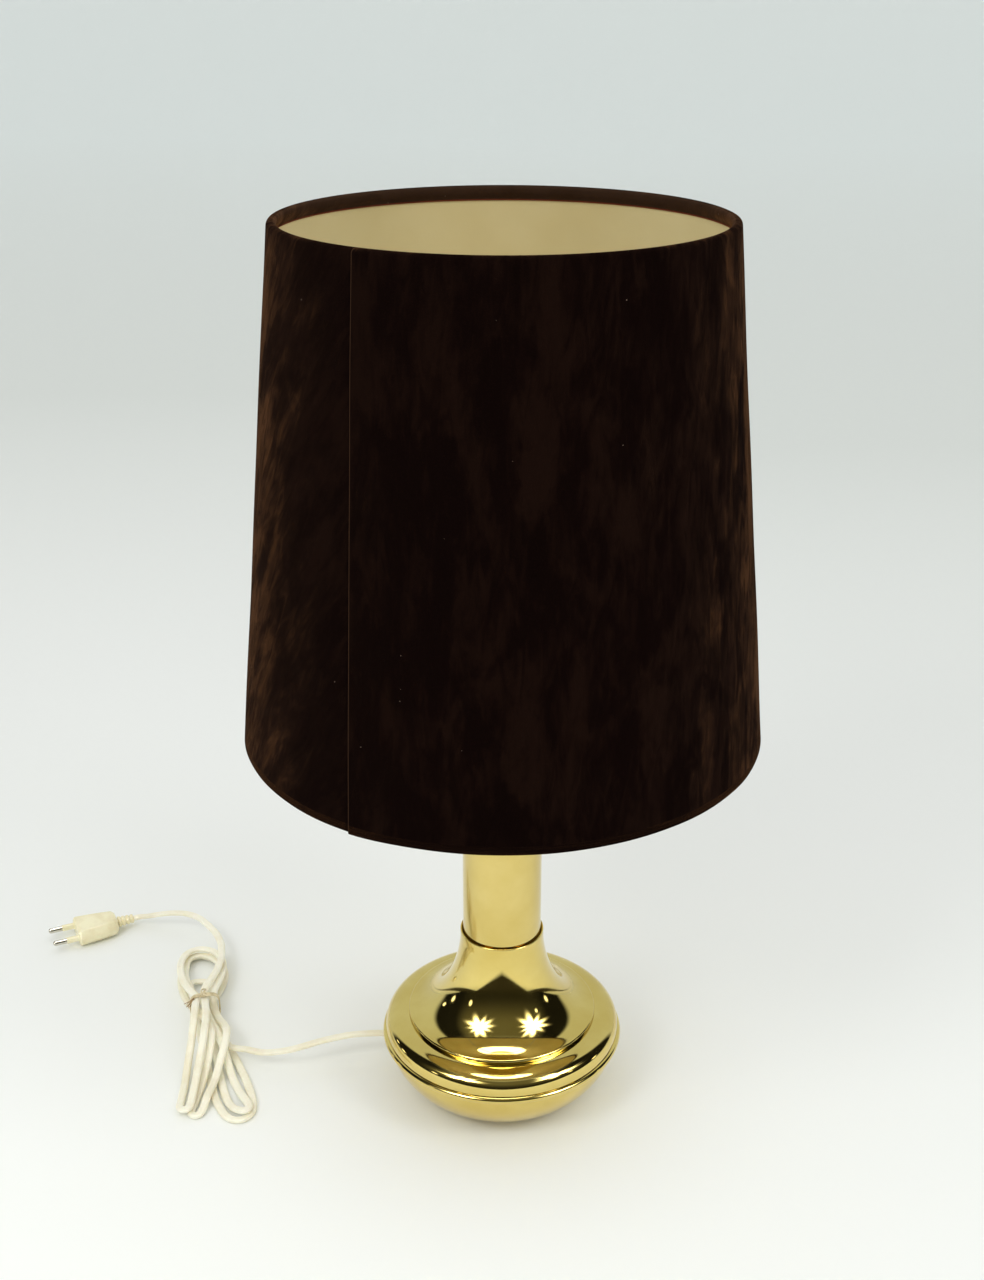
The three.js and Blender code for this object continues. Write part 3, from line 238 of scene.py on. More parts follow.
LOWER_PLANS = [
    [
        (-6, LEFT), (-18, -5.8), (-35, -4.2), (-50, -3), (-70, -1.8), (-92, 0), (-103, 2.6), (-112, 6),
        (-117, 11), (-117, 17), (-112.4, 22), (-103, 24), (-92, 23.6), (-76, 21.4), (-60, 18.1), (-42, 14),
        (-24, 9.4), (-6, RIGHT),
    ],
    [
        (-6, 0), (-18, 0.4), (-35, 2.6), (-50, 4), (-79, 5.6), (-93, 7.2), (-104, 9.8), (-111, 13.4),
        (-114.2, 18), (-110.6, 21.4), (-104.4, 19.8), (-98, 18), (-86.5, 15.6), (-74.5, 13), (-59, 10.6),
        (-40, 7), (-22, 2.4), (-6, 0),
    ],
    [
        (-6, LEFT), (-16, -4.6), (-28, 0), (-41, 2.2), (-56, -0.6), (-71, -5), (-85, -10), (-95, -13.8),
        (-101, -16.4), (-106, -16), (-107.4, -12.4), (-104, -9.4), (-95, -5.8), (-80, 0.6), (-66, 5.6),
        (-53, 10.2), (-42, 12.6), (-28, 11.4), (-17, 8.6), (-6, RIGHT),
    ],
    [
        (-6, LEFT), (-20, -7.8), (-32, -9.8), (-47, -12.8), (-61, -16), (-83, -20.8), (-94, -22.8),
        (-101, -23.4), (-104.8, -20.2), (-101.4, -16.9), (-93, -14.9), (-82, -12), (-64, -7.6), (-46, -3.2),
        (-27, -0.4), (-16, 0), (-6, 0),
    ],
]
LEAVING_PLAN = [(0, 0), (6, 0), (17, 4.4), (30, 10.4), (44, 14.4), (56, 16.2), (66, 16.8)]
turns = [point for upper, lower in zip(UPPER_PLANS, LOWER_PLANS) for point in upper + lower]
PLAN_STEP = 1.5
hank_plan = even_points([*ENTRY_PLAN, *turns, *LEAVING_PLAN], PLAN_STEP)
print(f"the hank takes {(len(hank_plan) - 1) * PLAN_STEP / 1000:.2f} m of flex in plan")

# %% [markdown]
# ## Laying the hank down
# The heights come from laying the flex down in its real order. A point rests on the table, on
# the string inside the tie, or on whatever stretch of flex already lies below it. From there
# the flex climbs and falls no more steeply than it can bend, and a few rounds of smoothing let
# it hang in easy arcs between the places that carry it. Only the lead's own end is laid later
# than its place in the line: it was pushed in over the first turn.

# %% Heights of the hank
FLOOR_RISE = CORD_HEIGHT / 2 + 0.1
LAYER_RISE = 3.85
LAY_GAP = 0.45  # beside which one stretch clears another
TIE_LIFT = 1.5
TIE_REACH = 3.4
ENTRY_HEIGHT = 10
ENTRY_FALL = 0.3
CLIMB = 0.36  # steepest rise or fall
SAME_STRETCH = 13  # length over which the flex isn't taken to lie on itself
SMOOTHINGS = 14


def laying_order(plan):
    """The order in which the points are laid, and the index where the lead's own end stops."""
    tie_side = ENTRY_PLAN[-1][0]
    order = np.arange(len(plan))
    entry_end = int(np.argmax(plan[:, 0] > tie_side))
    upward = np.flatnonzero((plan[:-1, 0] < tie_side) & (plan[1:, 0] >= tie_side)) + 1
    turn_end = int(upward[upward > 2 * entry_end][0])
    return np.where(order < entry_end, order + turn_end, order), entry_end


def lay_down(plan):
    """The height of the flex's middle line at each point of the plan, in mm."""
    order = np.arange(len(plan))
    laid, entry_end = laying_order(plan)
    distance = np.linalg.norm(plan[:, None] - plan[None], axis=2)
    elsewhere = np.abs(order[:, None] - order[None]) > round(SAME_STRETCH / PLAN_STEP)
    rests_on = (distance < CORD_WIDTH + LAY_GAP) & elsewhere & (laid[:, None] > laid[None])
    entry = np.where(order < entry_end, ENTRY_HEIGHT - ENTRY_FALL * PLAN_STEP * order, 0)
    least = np.maximum(FLOOR_RISE + np.where(np.abs(plan[:, 0]) < TIE_REACH, TIE_LIFT, 0), entry)
    slope = CLIMB * PLAN_STEP * order
    heights = least
    for _ in range(3 * len(UPPER_PLANS)):
        needed = np.maximum(least, np.where(rests_on, heights[None] + LAYER_RISE, 0).max(axis=1))
        heights = np.maximum.accumulate(needed + slope) - slope
        heights = np.maximum.accumulate((heights - slope)[::-1])[::-1] + slope
        for _ in range(SMOOTHINGS):
            between = (heights[:-2] + heights[2:]) / 2
            heights = np.concatenate([heights[:1], np.maximum(needed[1:-1], between), heights[-1:]])
    return heights


hank_heights = lay_down(hank_plan)
hank_flat = np.outer(hank_plan[:, 0], ALONG_HANK) + np.outer(hank_plan[:, 1], ACROSS_HANK) + TIE_PLACE
hank_line = np.column_stack([hank_flat, hank_heights])
print(f"the pile is {hank_heights.max() + CORD_HEIGHT / 2:.1f} mm high")

# %% The whole route
OUTLET_AZIMUTH = 168.5
OUTLET_HEIGHT = 20
OUTLET_RADIUS = 70.8  # of the bowl where the lead comes out
BUSH_INWARD = 13.4
BUSH_OUTWARD = 6.2
PLUG_HEADING = 205
PLUG_FACE = (-328.5, 160)
PLUG_LENGTH = 31
PLUG_HEIGHT = 13.4
RELIEF_LENGTH = 13
GAP = 0.3
ROUNDINGS = 5  # passes that round the small corners off the line


def heading(degrees):
    """The level direction at an angle in degrees from the X axis."""
    return np.array([math.cos(math.radians(degrees)), math.sin(math.radians(degrees)), 0.0])


outlet_ahead = heading(OUTLET_AZIMUTH)
lead_start = outlet_ahead * (OUTLET_RADIUS + BUSH_OUTWARD + GAP) + np.array([0, 0, OUTLET_HEIGHT])
plug_ahead = heading(PLUG_HEADING)
plug_back = np.array([*PLUG_FACE, PLUG_HEIGHT / 2]) - plug_ahead * PLUG_LENGTH
tail_end = plug_back - plug_ahead * (RELIEF_LENGTH + 2 * GAP)
LEAD = [
    (-102.8, 15, 19.8), (-113.6, 12.5, 19.2), (-124.3, 9.3, 18.6), (-137.5, 4.3, 17.4), (-149.5, 1.8, 16),
    (-163.5, 3.4, 13.6),
]
TAIL = [
    (-218.3, 147.7, 14.2), (-225.3, 155.5, 15.8), (-233.5, 163.9, 16.8), (-242.9, 169, 17), (-253.7, 172, 16),
    (-266, 174.2, 13.4), (-276, 176, 10.4),
]
hank_in = unit(hank_line[1] - hank_line[0]) * (CORD_WIDTH + GAP)
hank_out = unit(hank_line[-1] - hank_line[-2]) * (CORD_WIDTH + GAP)
route = [lead_start, lead_start + outlet_ahead * CORD_WIDTH, *LEAD, hank_line[0] - hank_in, *hank_line]
route += [hank_line[-1] + hank_out, *TAIL]
route += [tail_end - plug_ahead * CORD_WIDTH, tail_end, tail_end + plug_ahead * RELIEF_LENGTH]
cord_line = smooth_path(route, 2.0) * MM
for _ in range(ROUNDINGS):
    cord_line[1:-1] = (cord_line[:-2] + 2 * cord_line[1:-1] + cord_line[2:]) / 4

# %% [markdown]
# ## From points to a mesh
# A sweep moves one cross-section along the line. The flex lies flat, so its section is never
# turned about the line: its wide side stays level. The two cores show as a shallow groove along
# the middle of both faces.

# %% Mesh tools
SHARP = 40  # degrees between two faces from which their edge isn't shaded smooth


def make_piece(name, vertices, faces, finish, sharp=SHARP):
    """A smooth-shaded object at the origin, its faces turned outwards."""
    mesh = bpy.data.meshes.new(name)
    mesh.from_pydata([tuple(v) for v in vertices], [], faces)
    mesh.materials.append(finish)
    return from_mesh(name, mesh, sharp)


def from_mesh(name, mesh, sharp=SHARP):
    """Turns a mesh's faces outwards, shades it smooth and adds it to the scene."""
    mesh.calc_loop_triangles()
    points = np.array([v.co for v in mesh.vertices])
    corners = points[np.array([t.vertices for t in mesh.loop_triangles])]
    volume = np.einsum("ij,ij->i", corners[:, 0], np.cross(corners[:, 1], corners[:, 2])).sum() / 6
    if volume < 0:
        mesh.flip_normals()
    mesh.shade_smooth()
    mesh.set_sharp_from_angle(angle=math.radians(sharp))
    piece = bpy.data.objects.new(name, mesh)
    bpy.context.scene.collection.objects.link(piece)
    print(f"{name}: {len(mesh.loop_triangles)} triangles, {abs(volume) * 1e6:.2f} cm3")
    return piece


def place(piece, body, slot, *nodes):
    """Hangs a piece on its body and hides the CAD nodes it replaces; the slot is not used."""
    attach(piece, body)
    if nodes:
        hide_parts(*nodes)
    return piece


def skin_faces(rings, count, closed=False):
    """Four-sided faces between rings of equal count."""
    faces = []
    for i in range(rings if closed else rings - 1):
        a, b = i * count, (i + 1) % rings * count
        faces += [(a + k, a + (k + 1) % count, b + (k + 1) % count, b + k) for k in range(count)]
    return faces


def loft(name, rings, finish, sharp=SHARP):
    """A closed skin over rings of points, with a flat face at each end."""
    count = len(rings[0])
    faces = skin_faces(len(rings), count)
    last = (len(rings) - 1) * count
    faces += [tuple(range(count))[::-1], tuple(range(last, last + count))]
    return make_piece(name, np.vstack(rings), faces, finish, sharp)


# %% Sweep the flex
SECTION_SIDES = 24
CORE_GROOVE = 0.2  # how much thinner the flex is between its cores


def flex_section():
    """The flex's section in metres: a flat oval with a shallow groove between its cores."""
    section = []
    for k in range(SECTION_SIDES):
        angle = 2 * math.pi * k / SECTION_SIDES
        x = CORD_WIDTH / 2 * math.cos(angle)
        y = CORD_HEIGHT / 2 * math.copysign(abs(math.sin(angle)) ** 0.75, math.sin(angle))
        section.append((x, y * (1 - CORE_GROOVE * math.exp(-((x / 0.55) ** 2)))))
    return np.array(section) * MM


def sweep(line, section):
    """Rings of the section along a line; its first direction stays level."""
    ahead = np.gradient(line, axis=0)
    ahead /= np.linalg.norm(ahead, axis=1)[:, None]
    side = np.cross(ahead, (0, 0, 1))
    side /= np.linalg.norm(side, axis=1)[:, None]
    up = np.cross(side, ahead)
    return [p + section[:, :1] * s + section[:, 1:] * u for p, s, u in zip(line, side, up)]


flex = loft("flat_flex", sweep(cord_line, flex_section()), cord_pvc)
place(flex, "base", "pvc", "cord_lead", "cord_hank", "cord_tail")

# %% [markdown]
# ## The plug
# A flat two-pin plug is moulded round its pins in one shot. Its body is a bevelled bar that
# narrows towards the lead, with a neck of thin ribs that lets the lead bend without breaking.
# Rings of eight points give the bevelled form, and a Bevel modifier rounds its edges as a mould
# does. The pins have an insulating sleeve near the body and a bare rounded tip.

# %% Plug body and neck
PLUG_FRONT_WIDTH = 32
PLUG_BACK_WIDTH = 25
PLUG_BEVEL = 4.8


def on_plug(reach, aside, up):
    """A point at a reach from the plug's back, aside of its middle line and above it."""
    across = np.array([-plug_ahead[1], plug_ahead[0], 0])
    return (plug_back + plug_ahead * reach + across * aside + np.array([0, 0, up])) * MM


def bevelled_ring(reach, width, height, bevel=PLUG_BEVEL):
    """Eight points across the plug, a rectangle with bevelled corners, in metres."""
    w, h = width / 2, height / 2
    b = min(bevel, h * 0.72)
    corners = [
        (w, b - h), (w, h - b), (w - b, h), (b - w, h), (-w, h - b), (-w, b - h), (b - w, -h), (w - b, -h),
    ]
    return np.array([on_plug(reach, aside, up) for aside, up in corners])


def rounded(piece, width, segments=3, angle=25):
    """Rounds the piece's edges, and keeps the rounded mesh."""
    bevel = piece.modifiers.new("rounded_edges", "BEVEL")
    bevel.width = width * MM
    bevel.segments = segments
    bevel.limit_method = "ANGLE"
    bevel.angle_limit = math.radians(angle)
    return applied(piece)


def applied(piece):
    """Turns the piece's modifiers into its mesh."""
    evaluated = piece.evaluated_get(bpy.context.evaluated_depsgraph_get())
    mesh = bpy.data.meshes.new_from_object(evaluated)
    piece.modifiers.clear()
    piece.data = mesh
    mesh.shade_smooth()
    mesh.set_sharp_from_angle(angle=math.radians(SHARP))
    return piece


def pierced(piece, hole):
    """Cuts the form of a hole out of a piece, and removes the hole's own object."""
    cut = piece.modifiers.new("hole", "BOOLEAN")
    cut.operation = "DIFFERENCE"
    cut.solver = "EXACT"
    cut.object = hole
    applied(piece)
    bpy.data.objects.remove(hole)


plug = rounded(loft("plug_moulding", [
    bevelled_ring(0, PLUG_BACK_WIDTH - 6, PLUG_HEIGHT - 3),
    bevelled_ring(2.5, PLUG_BACK_WIDTH, PLUG_HEIGHT - 0.4),
    bevelled_ring(PLUG_LENGTH * 0.45, mix(PLUG_BACK_WIDTH, PLUG_FRONT_WIDTH, 0.5), PLUG_HEIGHT),
    bevelled_ring(PLUG_LENGTH - 1.5, PLUG_FRONT_WIDTH, PLUG_HEIGHT),
    bevelled_ring(PLUG_LENGTH, PLUG_FRONT_WIDTH - 2, PLUG_HEIGHT - 2),
], plug_pvc), 0.7)
place(plug, "base", "pvc", "plug_body")

# %% The plug's ribbed neck
RELIEF_RIBS = 4
RIB_PITCH = 3.25
relief_rings = []
for rib in range(RELIEF_RIBS):
    for offset, grow in ((0.0, 0.0), (0.35, 1.0), (2.1, 1.0), (2.45, 0.0)):
        reach = -RELIEF_LENGTH - GAP + rib * RIB_PITCH + offset
        share = 1 + reach / RELIEF_LENGTH
        width = mix(CORD_WIDTH + 0.6, CORD_WIDTH + 2.6, share) + 1.4 * grow
        relief_rings.append(bevelled_ring(reach, width, mix(4.0, 4.6, share) + grow, 1.2))
neck = rounded(loft("plug_ribbed_neck", relief_rings, plug_pvc), 0.2, 2)
place(neck, "base", "pvc", "plug_strain_relief")

# %% [markdown]
# ## Turned pieces with Geometry Nodes
# The base, the column, the lampholder and the bulb are all turned or spun: their shape is one
# profile carried round an axis. A small geometry tree does the same. It takes the profile as a
# line of edges, lays it flat, and sweeps it round a tiny circle with Curve to Mesh, so that the
# whole radius is in the profile. Merge by Distance closes the poles. The same tree can cut a
# screw thread: it moves the wall in and out with a wave that climbs one pitch each turn.

# %% The turning tree
HUB = 0.0005  # radius of the circle that the profile is swept round
WELD = 1e-6  # m between points that are merged
LEAST_PITCH = 1e-5  # m, so that a wall without a thread divides by no zero


def new_tree(name, *sockets):
    """An empty geometry tree with named inputs, and the outputs that bring their values."""
    tree = bpy.data.node_groups.new(name, "GeometryNodeTree")
    tree.interface.new_socket(name="Geometry", in_out="INPUT", socket_type="NodeSocketGeometry")
    for title, kind in sockets:
        tree.interface.new_socket(name=title, in_out="INPUT", socket_type="NodeSocket" + kind)
    tree.interface.new_socket(name="Geometry", in_out="OUTPUT", socket_type="NodeSocketGeometry")
    return tree, add(tree, "NodeGroupInput").outputs


def thread_offset(tree, given):
    """Moves a wall in and out along its radius by a wave that climbs one pitch each turn."""
    spot = add(tree, "ShaderNodeSeparateXYZ", {0: add(tree, "GeometryNodeInputPosition")}).outputs
    angle = add(tree, "ShaderNodeMath", {0: spot["Y"], 1: spot["X"]}, operation="ARCTAN2")
    turn = add(tree, "ShaderNodeMath", {0: angle, 1: 2 * math.pi}, operation="DIVIDE")
    pitch = add(tree, "ShaderNodeMath", {0: given["Pitch"], 1: LEAST_PITCH}, operation="MAXIMUM")
    climb = add(tree, "ShaderNodeMath", {0: spot["Z"], 1: pitch}, operation="DIVIDE")
    phase = add(tree, "ShaderNodeMath", {0: climb, 1: turn}, operation="SUBTRACT")
    phase = add(tree, "ShaderNodeMath", {0: phase, 1: 2 * math.pi}, operation="MULTIPLY")
    wave = add(tree, "ShaderNodeMath", {0: phase}, operation="SINE")
    over_low = add(tree, "ShaderNodeMath", {0: spot["Z"], 1: given["Thread Low"]}, operation="SUBTRACT")
    under_high = add(tree, "ShaderNodeMath", {0: given["Thread High"], 1: spot["Z"]}, operation="SUBTRACT")
    to_end = add(tree, "ShaderNodeMath", {0: over_low, 1: under_high}, operation="MINIMUM")
    run_out = add(tree, "ShaderNodeMath", {0: to_end, 1: MM}, operation="DIVIDE", use_clamp=True)
    depth = add(tree, "ShaderNodeMath", {0: wave, 1: given["Depth"]}, operation="MULTIPLY")
    depth = add(tree, "ShaderNodeMath", {0: depth, 1: run_out}, operation="MULTIPLY")
    level = add(tree, "ShaderNodeCombineXYZ", {"X": spot["X"], "Y": spot["Y"]})
    radial = add(tree, "ShaderNodeVectorMath", {0: level}, operation="NORMALIZE")
    return add(tree, "ShaderNodeVectorMath", {0: radial, "Scale": depth}, operation="SCALE")


def turning_tree():
    """Sweeps a profile round the Z axis, closes its poles, and cuts a thread if there is one."""
    tree, given = new_tree(
        "turned", ("Facets", "Int"), ("Pitch", "Float"), ("Depth", "Float"),
        ("Thread Low", "Float"), ("Thread High", "Float"), ("Finish", "Material"),
    )
    spot = add(tree, "ShaderNodeSeparateXYZ", {0: add(tree, "GeometryNodeInputPosition")}).outputs
    from_hub = add(tree, "ShaderNodeMath", {0: spot["X"], 1: HUB}, operation="SUBTRACT")
    laid_height = add(tree, "ShaderNodeMath", {0: spot["Z"], 1: -1}, operation="MULTIPLY")
    laid = add(tree, "ShaderNodeCombineXYZ", {"X": from_hub, "Y": laid_height})
    flat = add(tree, "GeometryNodeSetPosition", {"Geometry": given["Geometry"], "Position": laid})
    profile = add(tree, "GeometryNodeMeshToCurve", {"Mesh": flat})
    circle = add(tree, "GeometryNodeCurvePrimitiveCircle", {"Resolution": given["Facets"], "Radius": HUB})
    skin = add(tree, "GeometryNodeCurveToMesh", {"Curve": circle, "Profile Curve": profile})
    welded = add(tree, "GeometryNodeMergeByDistance", {"Geometry": skin, "Distance": WELD})
    cut = add(tree, "GeometryNodeSetPosition", {"Geometry": welded, "Offset": thread_offset(tree, given)})
    real = add(tree, "GeometryNodeRealizeInstances", {"Geometry": cut})
    dressed = add(tree, "GeometryNodeSetMaterial", {"Geometry": real, "Material": given["Finish"]})
    add(tree, "NodeGroupOutput", {"Geometry": dressed})
    return tree


TURNED = turning_tree()


# %% Run a tree and keep its mesh
def grown(name, source_mesh, tree, **values):
    """Runs a geometry tree over a mesh and keeps the result as a plain mesh object."""
    source = bpy.data.objects.new(name + "_source", source_mesh)
    bpy.context.scene.collection.objects.link(source)
    modifier = source.modifiers.new(tree.name, "NODES")
    modifier.node_group = tree
    for item in tree.interface.items_tree:
        title = item.name.replace(" ", "_").lower()
        if item.in_out == "INPUT" and title in values:
            modifier[item.identifier] = values[title]
    evaluated = source.evaluated_get(bpy.context.evaluated_depsgraph_get())
    mesh = bpy.data.meshes.new_from_object(evaluated)
    mesh.name = name
    bpy.data.objects.remove(source)
    bpy.data.meshes.remove(source_mesh)
    return from_mesh(name, mesh)


def line_mesh(name, *lines, closed=False):
    """A mesh of edges only, along one line of points or several."""
    points, edges = [], []
    for line in lines:
        start = len(points)
        points += [tuple(p) for p in line]
        edges += [(i, i + 1) for i in range(start, len(points) - 1)]
        if closed:
            edges.append((len(points) - 1, start))
    mesh = bpy.data.meshes.new(name + "_line")
    mesh.from_pydata(points, edges, [])
    return mesh


def turned(name, profile, finish, facets, thread=(0, 0, 0, 0)):
    """Turns a closed profile of (radius, height) in mm about the Z axis.

    A thread is given as pitch, depth, and the heights where it starts and ends.
    """
    points = [(radius * MM, 0, height * MM) for radius, height in profile]
    pitch, depth, low, high = thread
    return grown(
        name, line_mesh(name, points, closed=profile[0][0] > 0), TURNED, facets=facets,
        pitch=pitch * MM, depth=depth * MM, thread_low=low * MM, thread_high=high * MM, finish=finish,
    )


# %% Profiles
def bezier(a, b, c, d, count):
    """Points along a cubic curve from a to d, pulled towards b and c."""
    a, b, c, d = (np.array(p, float) for p in (a, b, c, d))
    curve = []
    for t in np.linspace(0, 1, count + 1):
        s = 1 - t
        curve.append(tuple(s**3 * a + 3 * s * s * t * b + 3 * s * t * t * c + t**3 * d))
    return curve


def arc(centre, radius, start, end, count):
    """Points along part of a circle, between two angles in degrees."""
    angles = np.radians(np.linspace(start, end, count + 1))
    return [(centre[0] + radius * math.cos(a), centre[1] + radius * math.sin(a)) for a in angles]


def shell(outer, wall):
    """Adds the inner side of a spun wall to an outer profile that is read upwards."""
    inner = []
    for i, (radius, height) in enumerate(outer):
        before, after = outer[max(i - 1, 0)], outer[min(i + 1, len(outer) - 1)]
        outward, upward = after[0] - before[0], after[1] - before[1]
        run = math.hypot(outward, upward)
        inner.append((radius - wall * upward / run, height + wall * outward / run))
    return [*outer, *reversed(inner)]


# %% [markdown]
# ## Polished brass
# The base is spun sheet brass, polished on the lathe and lacquered. Brass is a metal with a pale
# yellow colour of its own, so everything it mirrors turns yellow. The polishing mops leave lines
# that run round the axis, half a millimetre apart and less, which are read here from each
# point's radius and height. Under the lacquer the colour drifts a little, and handling leaves
# faint dull patches.


# %% Polished brass
def ring_lines(tree, pitch):
    """Noise that changes with radius and height but not round the axis."""
    spot = add(tree, "ShaderNodeSeparateXYZ", {0: add(tree, "ShaderNodeTexCoord").outputs["Object"]}).outputs
    level = add(tree, "ShaderNodeCombineXYZ", {"X": spot["X"], "Y": spot["Y"]})
    radius = add(tree, "ShaderNodeVectorMath", {0: level}, operation="LENGTH").outputs["Value"]
    across = add(tree, "ShaderNodeCombineXYZ", {"X": radius, "Z": spot["Z"]})
    return add(tree, "ShaderNodeTexNoise", {"Vector": across, "Scale": 1 / (pitch * MM), "Detail": 3.0})


def brass(name, base, deep, low_gloss, high_gloss, line_strength):
    """Lacquered brass with a drift of colour, dull patches, and polishing lines round the axis."""
    finish, tree, shader = new_finish(name, Metallic=1.0, Coat_Weight=0.25, Coat_Roughness=0.04)
    spot = add(tree, "ShaderNodeTexCoord").outputs["Object"]
    drift = add(tree, "ShaderNodeTexNoise", {"Vector": spot, "Scale": 22.0, "Detail": 4.0, "Roughness": 0.6})
    colour = add(tree, "ShaderNodeValToRGB", {"Fac": drift}, [(0.35, deep), (0.62, base)])
    tree.links.new(colour.outputs["Color"], shader.inputs["Base Color"])
    smudge = add(tree, "ShaderNodeTexNoise", {"Vector": spot, "Scale": 55.0, "Detail": 6.0, "Roughness": 0.7})
    gloss = add(tree, "ShaderNodeMapRange", {
        "Value": smudge, "From Min": 0.4, "From Max": 0.7, "To Min": low_gloss, "To Max": high_gloss,
    })
    tree.links.new(gloss.outputs["Result"], shader.inputs["Roughness"])
    bump = add(tree, "ShaderNodeBump", {
        "Height": ring_lines(tree, 0.5), "Strength": line_strength, "Distance": 0.02 * MM,
    })
    tree.links.new(bump.outputs["Normal"], shader.inputs["Normal"])
    return finish


spun_brass = brass("polished_spun_brass", "#e4ce7d", "#dac16b", 0.05, 0.1, 0.08)
drawn_brass = brass("polished_drawn_brass", "#e1cb80", "#d7bf6e", 0.1, 0.17, 0.25)

# %% [markdown]
# ## The base
# Three spun shells make the base: a lower bowl, a convex shoulder whose rolled edge is the
# widest ring of the lamp, and a bell that flares from the column and sits in a groove of the
# shoulder. The heights below follow each other, from the felt up.

# %% Base sizes
FELT = 1.5
FOOT_RADIUS = 49.5
BOWL_HEIGHT = 35
BOWL_SWELL = 8.7
BOWL_MOUTH_RADIUS = 20
SHELL = 1.0
RIM_RADIUS = 79.6
BEAD = 2.5
BOWL_RIM_RADIUS = RIM_RADIUS - BEAD - 0.4
SHOULDER_HEIGHT = 17.6
STEP_RADIUS = 62.3
STEP_DEPTH = 2.2
COLUMN_RADIUS = 25.4
COLUMN_TOP = 246
COLLAR_TOP = 117.6
COLLAR_WALL = 1.2
bowl_rim = FELT + BOWL_HEIGHT
bead_height = bowl_rim + GAP + BEAD
bell_seat = bead_height + SHOULDER_HEIGHT
collar_inner = COLUMN_RADIUS + 0.6
collar_outer = collar_inner + COLLAR_WALL


# %% Base profiles
def bowl_side():
    """The bowl's outer side, from the foot up to its rim."""
    third = (mix(FOOT_RADIUS, BOWL_RIM_RADIUS, 0.375) + BOWL_SWELL, mix(FELT, bowl_rim, 0.232))
    two_thirds = (mix(FOOT_RADIUS, BOWL_RIM_RADIUS, 0.986), mix(FELT, bowl_rim, 0.748))
    return bezier((FOOT_RADIUS, FELT), third, two_thirds, (BOWL_RIM_RADIUS, bowl_rim), 40)


def shoulder_side():
    """The shoulder's outer side: the rolled bead, the crown and the sunk step."""
    bead = arc((RIM_RADIUS - BEAD, bead_height), BEAD, -90, 70, 20)
    start = (bead[-1][0] - 0.5, bead[-1][1] + 0.1)
    end = (STEP_RADIUS, bell_seat - STEP_DEPTH)
    crown = bezier(start, (start[0] + 0.6, start[1] + 8.1), (end[0] + 12.8, end[1]), end, 44)
    return [*bead, *crown, (STEP_RADIUS - 6, bell_seat - STEP_DEPTH)]


def bell_side():
    """The bell's outer side, from its rolled edge up to the collar's lip."""
    edge = (STEP_RADIUS - GAP, bell_seat - STEP_DEPTH + GAP)
    lip = (edge[0], edge[1] + 1.6)
    crest = (lip[0] - 1.2, lip[1] + 1.2)
    collar = (collar_outer, COLLAR_TOP - 6)
    rolled = arc((crest[0], lip[1]), 1.2, 0, 90, 8)
    sweep_up = bezier(crest, (crest[0] - 17, crest[1] + 2.5), (collar[0] + 2.2, collar[1] - 30), collar, 60)
    lip_round = arc((collar_outer - 0.6, COLLAR_TOP - 0.6), 0.6, 0, 90, 6)
    return [edge, *rolled, *sweep_up[1:], *lip_round]


# %% Turn the base
bowl = turned("lower_bowl_shell", shell([(BOWL_MOUTH_RADIUS, FELT), *bowl_side()], SHELL), spun_brass, 240)
place(bowl, "base", "brass", "lower_bowl")
shoulder = turned("shoulder_shell", shell(shoulder_side(), SHELL), spun_brass, 240)
place(shoulder, "base", "brass", "shoulder_ring")
bell = turned("bell_shell", shell(bell_side(), COLLAR_WALL), spun_brass, 240)
place(bell, "base", "brass", "neck_bell")

# %% [markdown]
# ## The column
# A length of drawn brass tube stands in the bell's collar. A turned cap closes its top and
# carries the lampholder. Drawn tube is polished round its axis too, but keeps more of its lines.

# %% Column and cap
COLUMN_LOW = COLLAR_TOP - 15
COLUMN_WALL = 1.2
CAP_THICKNESS = 2.4
ROD_HOLE = 5.3
column_bore = COLUMN_RADIUS - COLUMN_WALL
column_profile = [
    (column_bore, COLUMN_LOW), (COLUMN_RADIUS, COLUMN_LOW), (COLUMN_RADIUS, COLUMN_TOP - 0.3),
    (COLUMN_RADIUS - 0.3, COLUMN_TOP), (column_bore, COLUMN_TOP),
]
column = turned("column_tube_drawn", column_profile, drawn_brass, 192)
place(column, "base", "brass", "column_tube")

cap_low = COLUMN_TOP + GAP
cap_top = cap_low + CAP_THICKNESS
cap_inside = COLUMN_RADIUS - 1.5
cap_profile = [
    (ROD_HOLE, cap_low), (cap_inside - 2.4, cap_low), (cap_inside - 2.4, COLUMN_TOP - 6),
    (cap_inside, COLUMN_TOP - 6), (cap_inside, cap_low), (COLUMN_RADIUS, cap_low),
    *arc((COLUMN_RADIUS - 1.2, cap_top - 1.2), 1.2, 0, 90, 8), (14, cap_top),
    *arc((12.5, cap_top + 1.5), 0.5, 0, 90, 4), (ROD_HOLE, cap_top + 2),
]
column_top = turned("column_cap_turned", cap_profile, spun_brass, 192)
place(column_top, "base", "brass", "column_cap")

# %% [markdown]
# ## Plain finishes
# The parts that are seen from below or through the shade each have their own common material.
# Phenolic resin is a dark thermoset, moulded under heat: glossy, with faint flow clouds.
# Zinc-plated steel wire is grey and only half bright, nickel plate is warmer and brighter. The
# weight in the base is sand-cast iron. The glass of the bulb is opal: white all through, with a
# hard gloss.


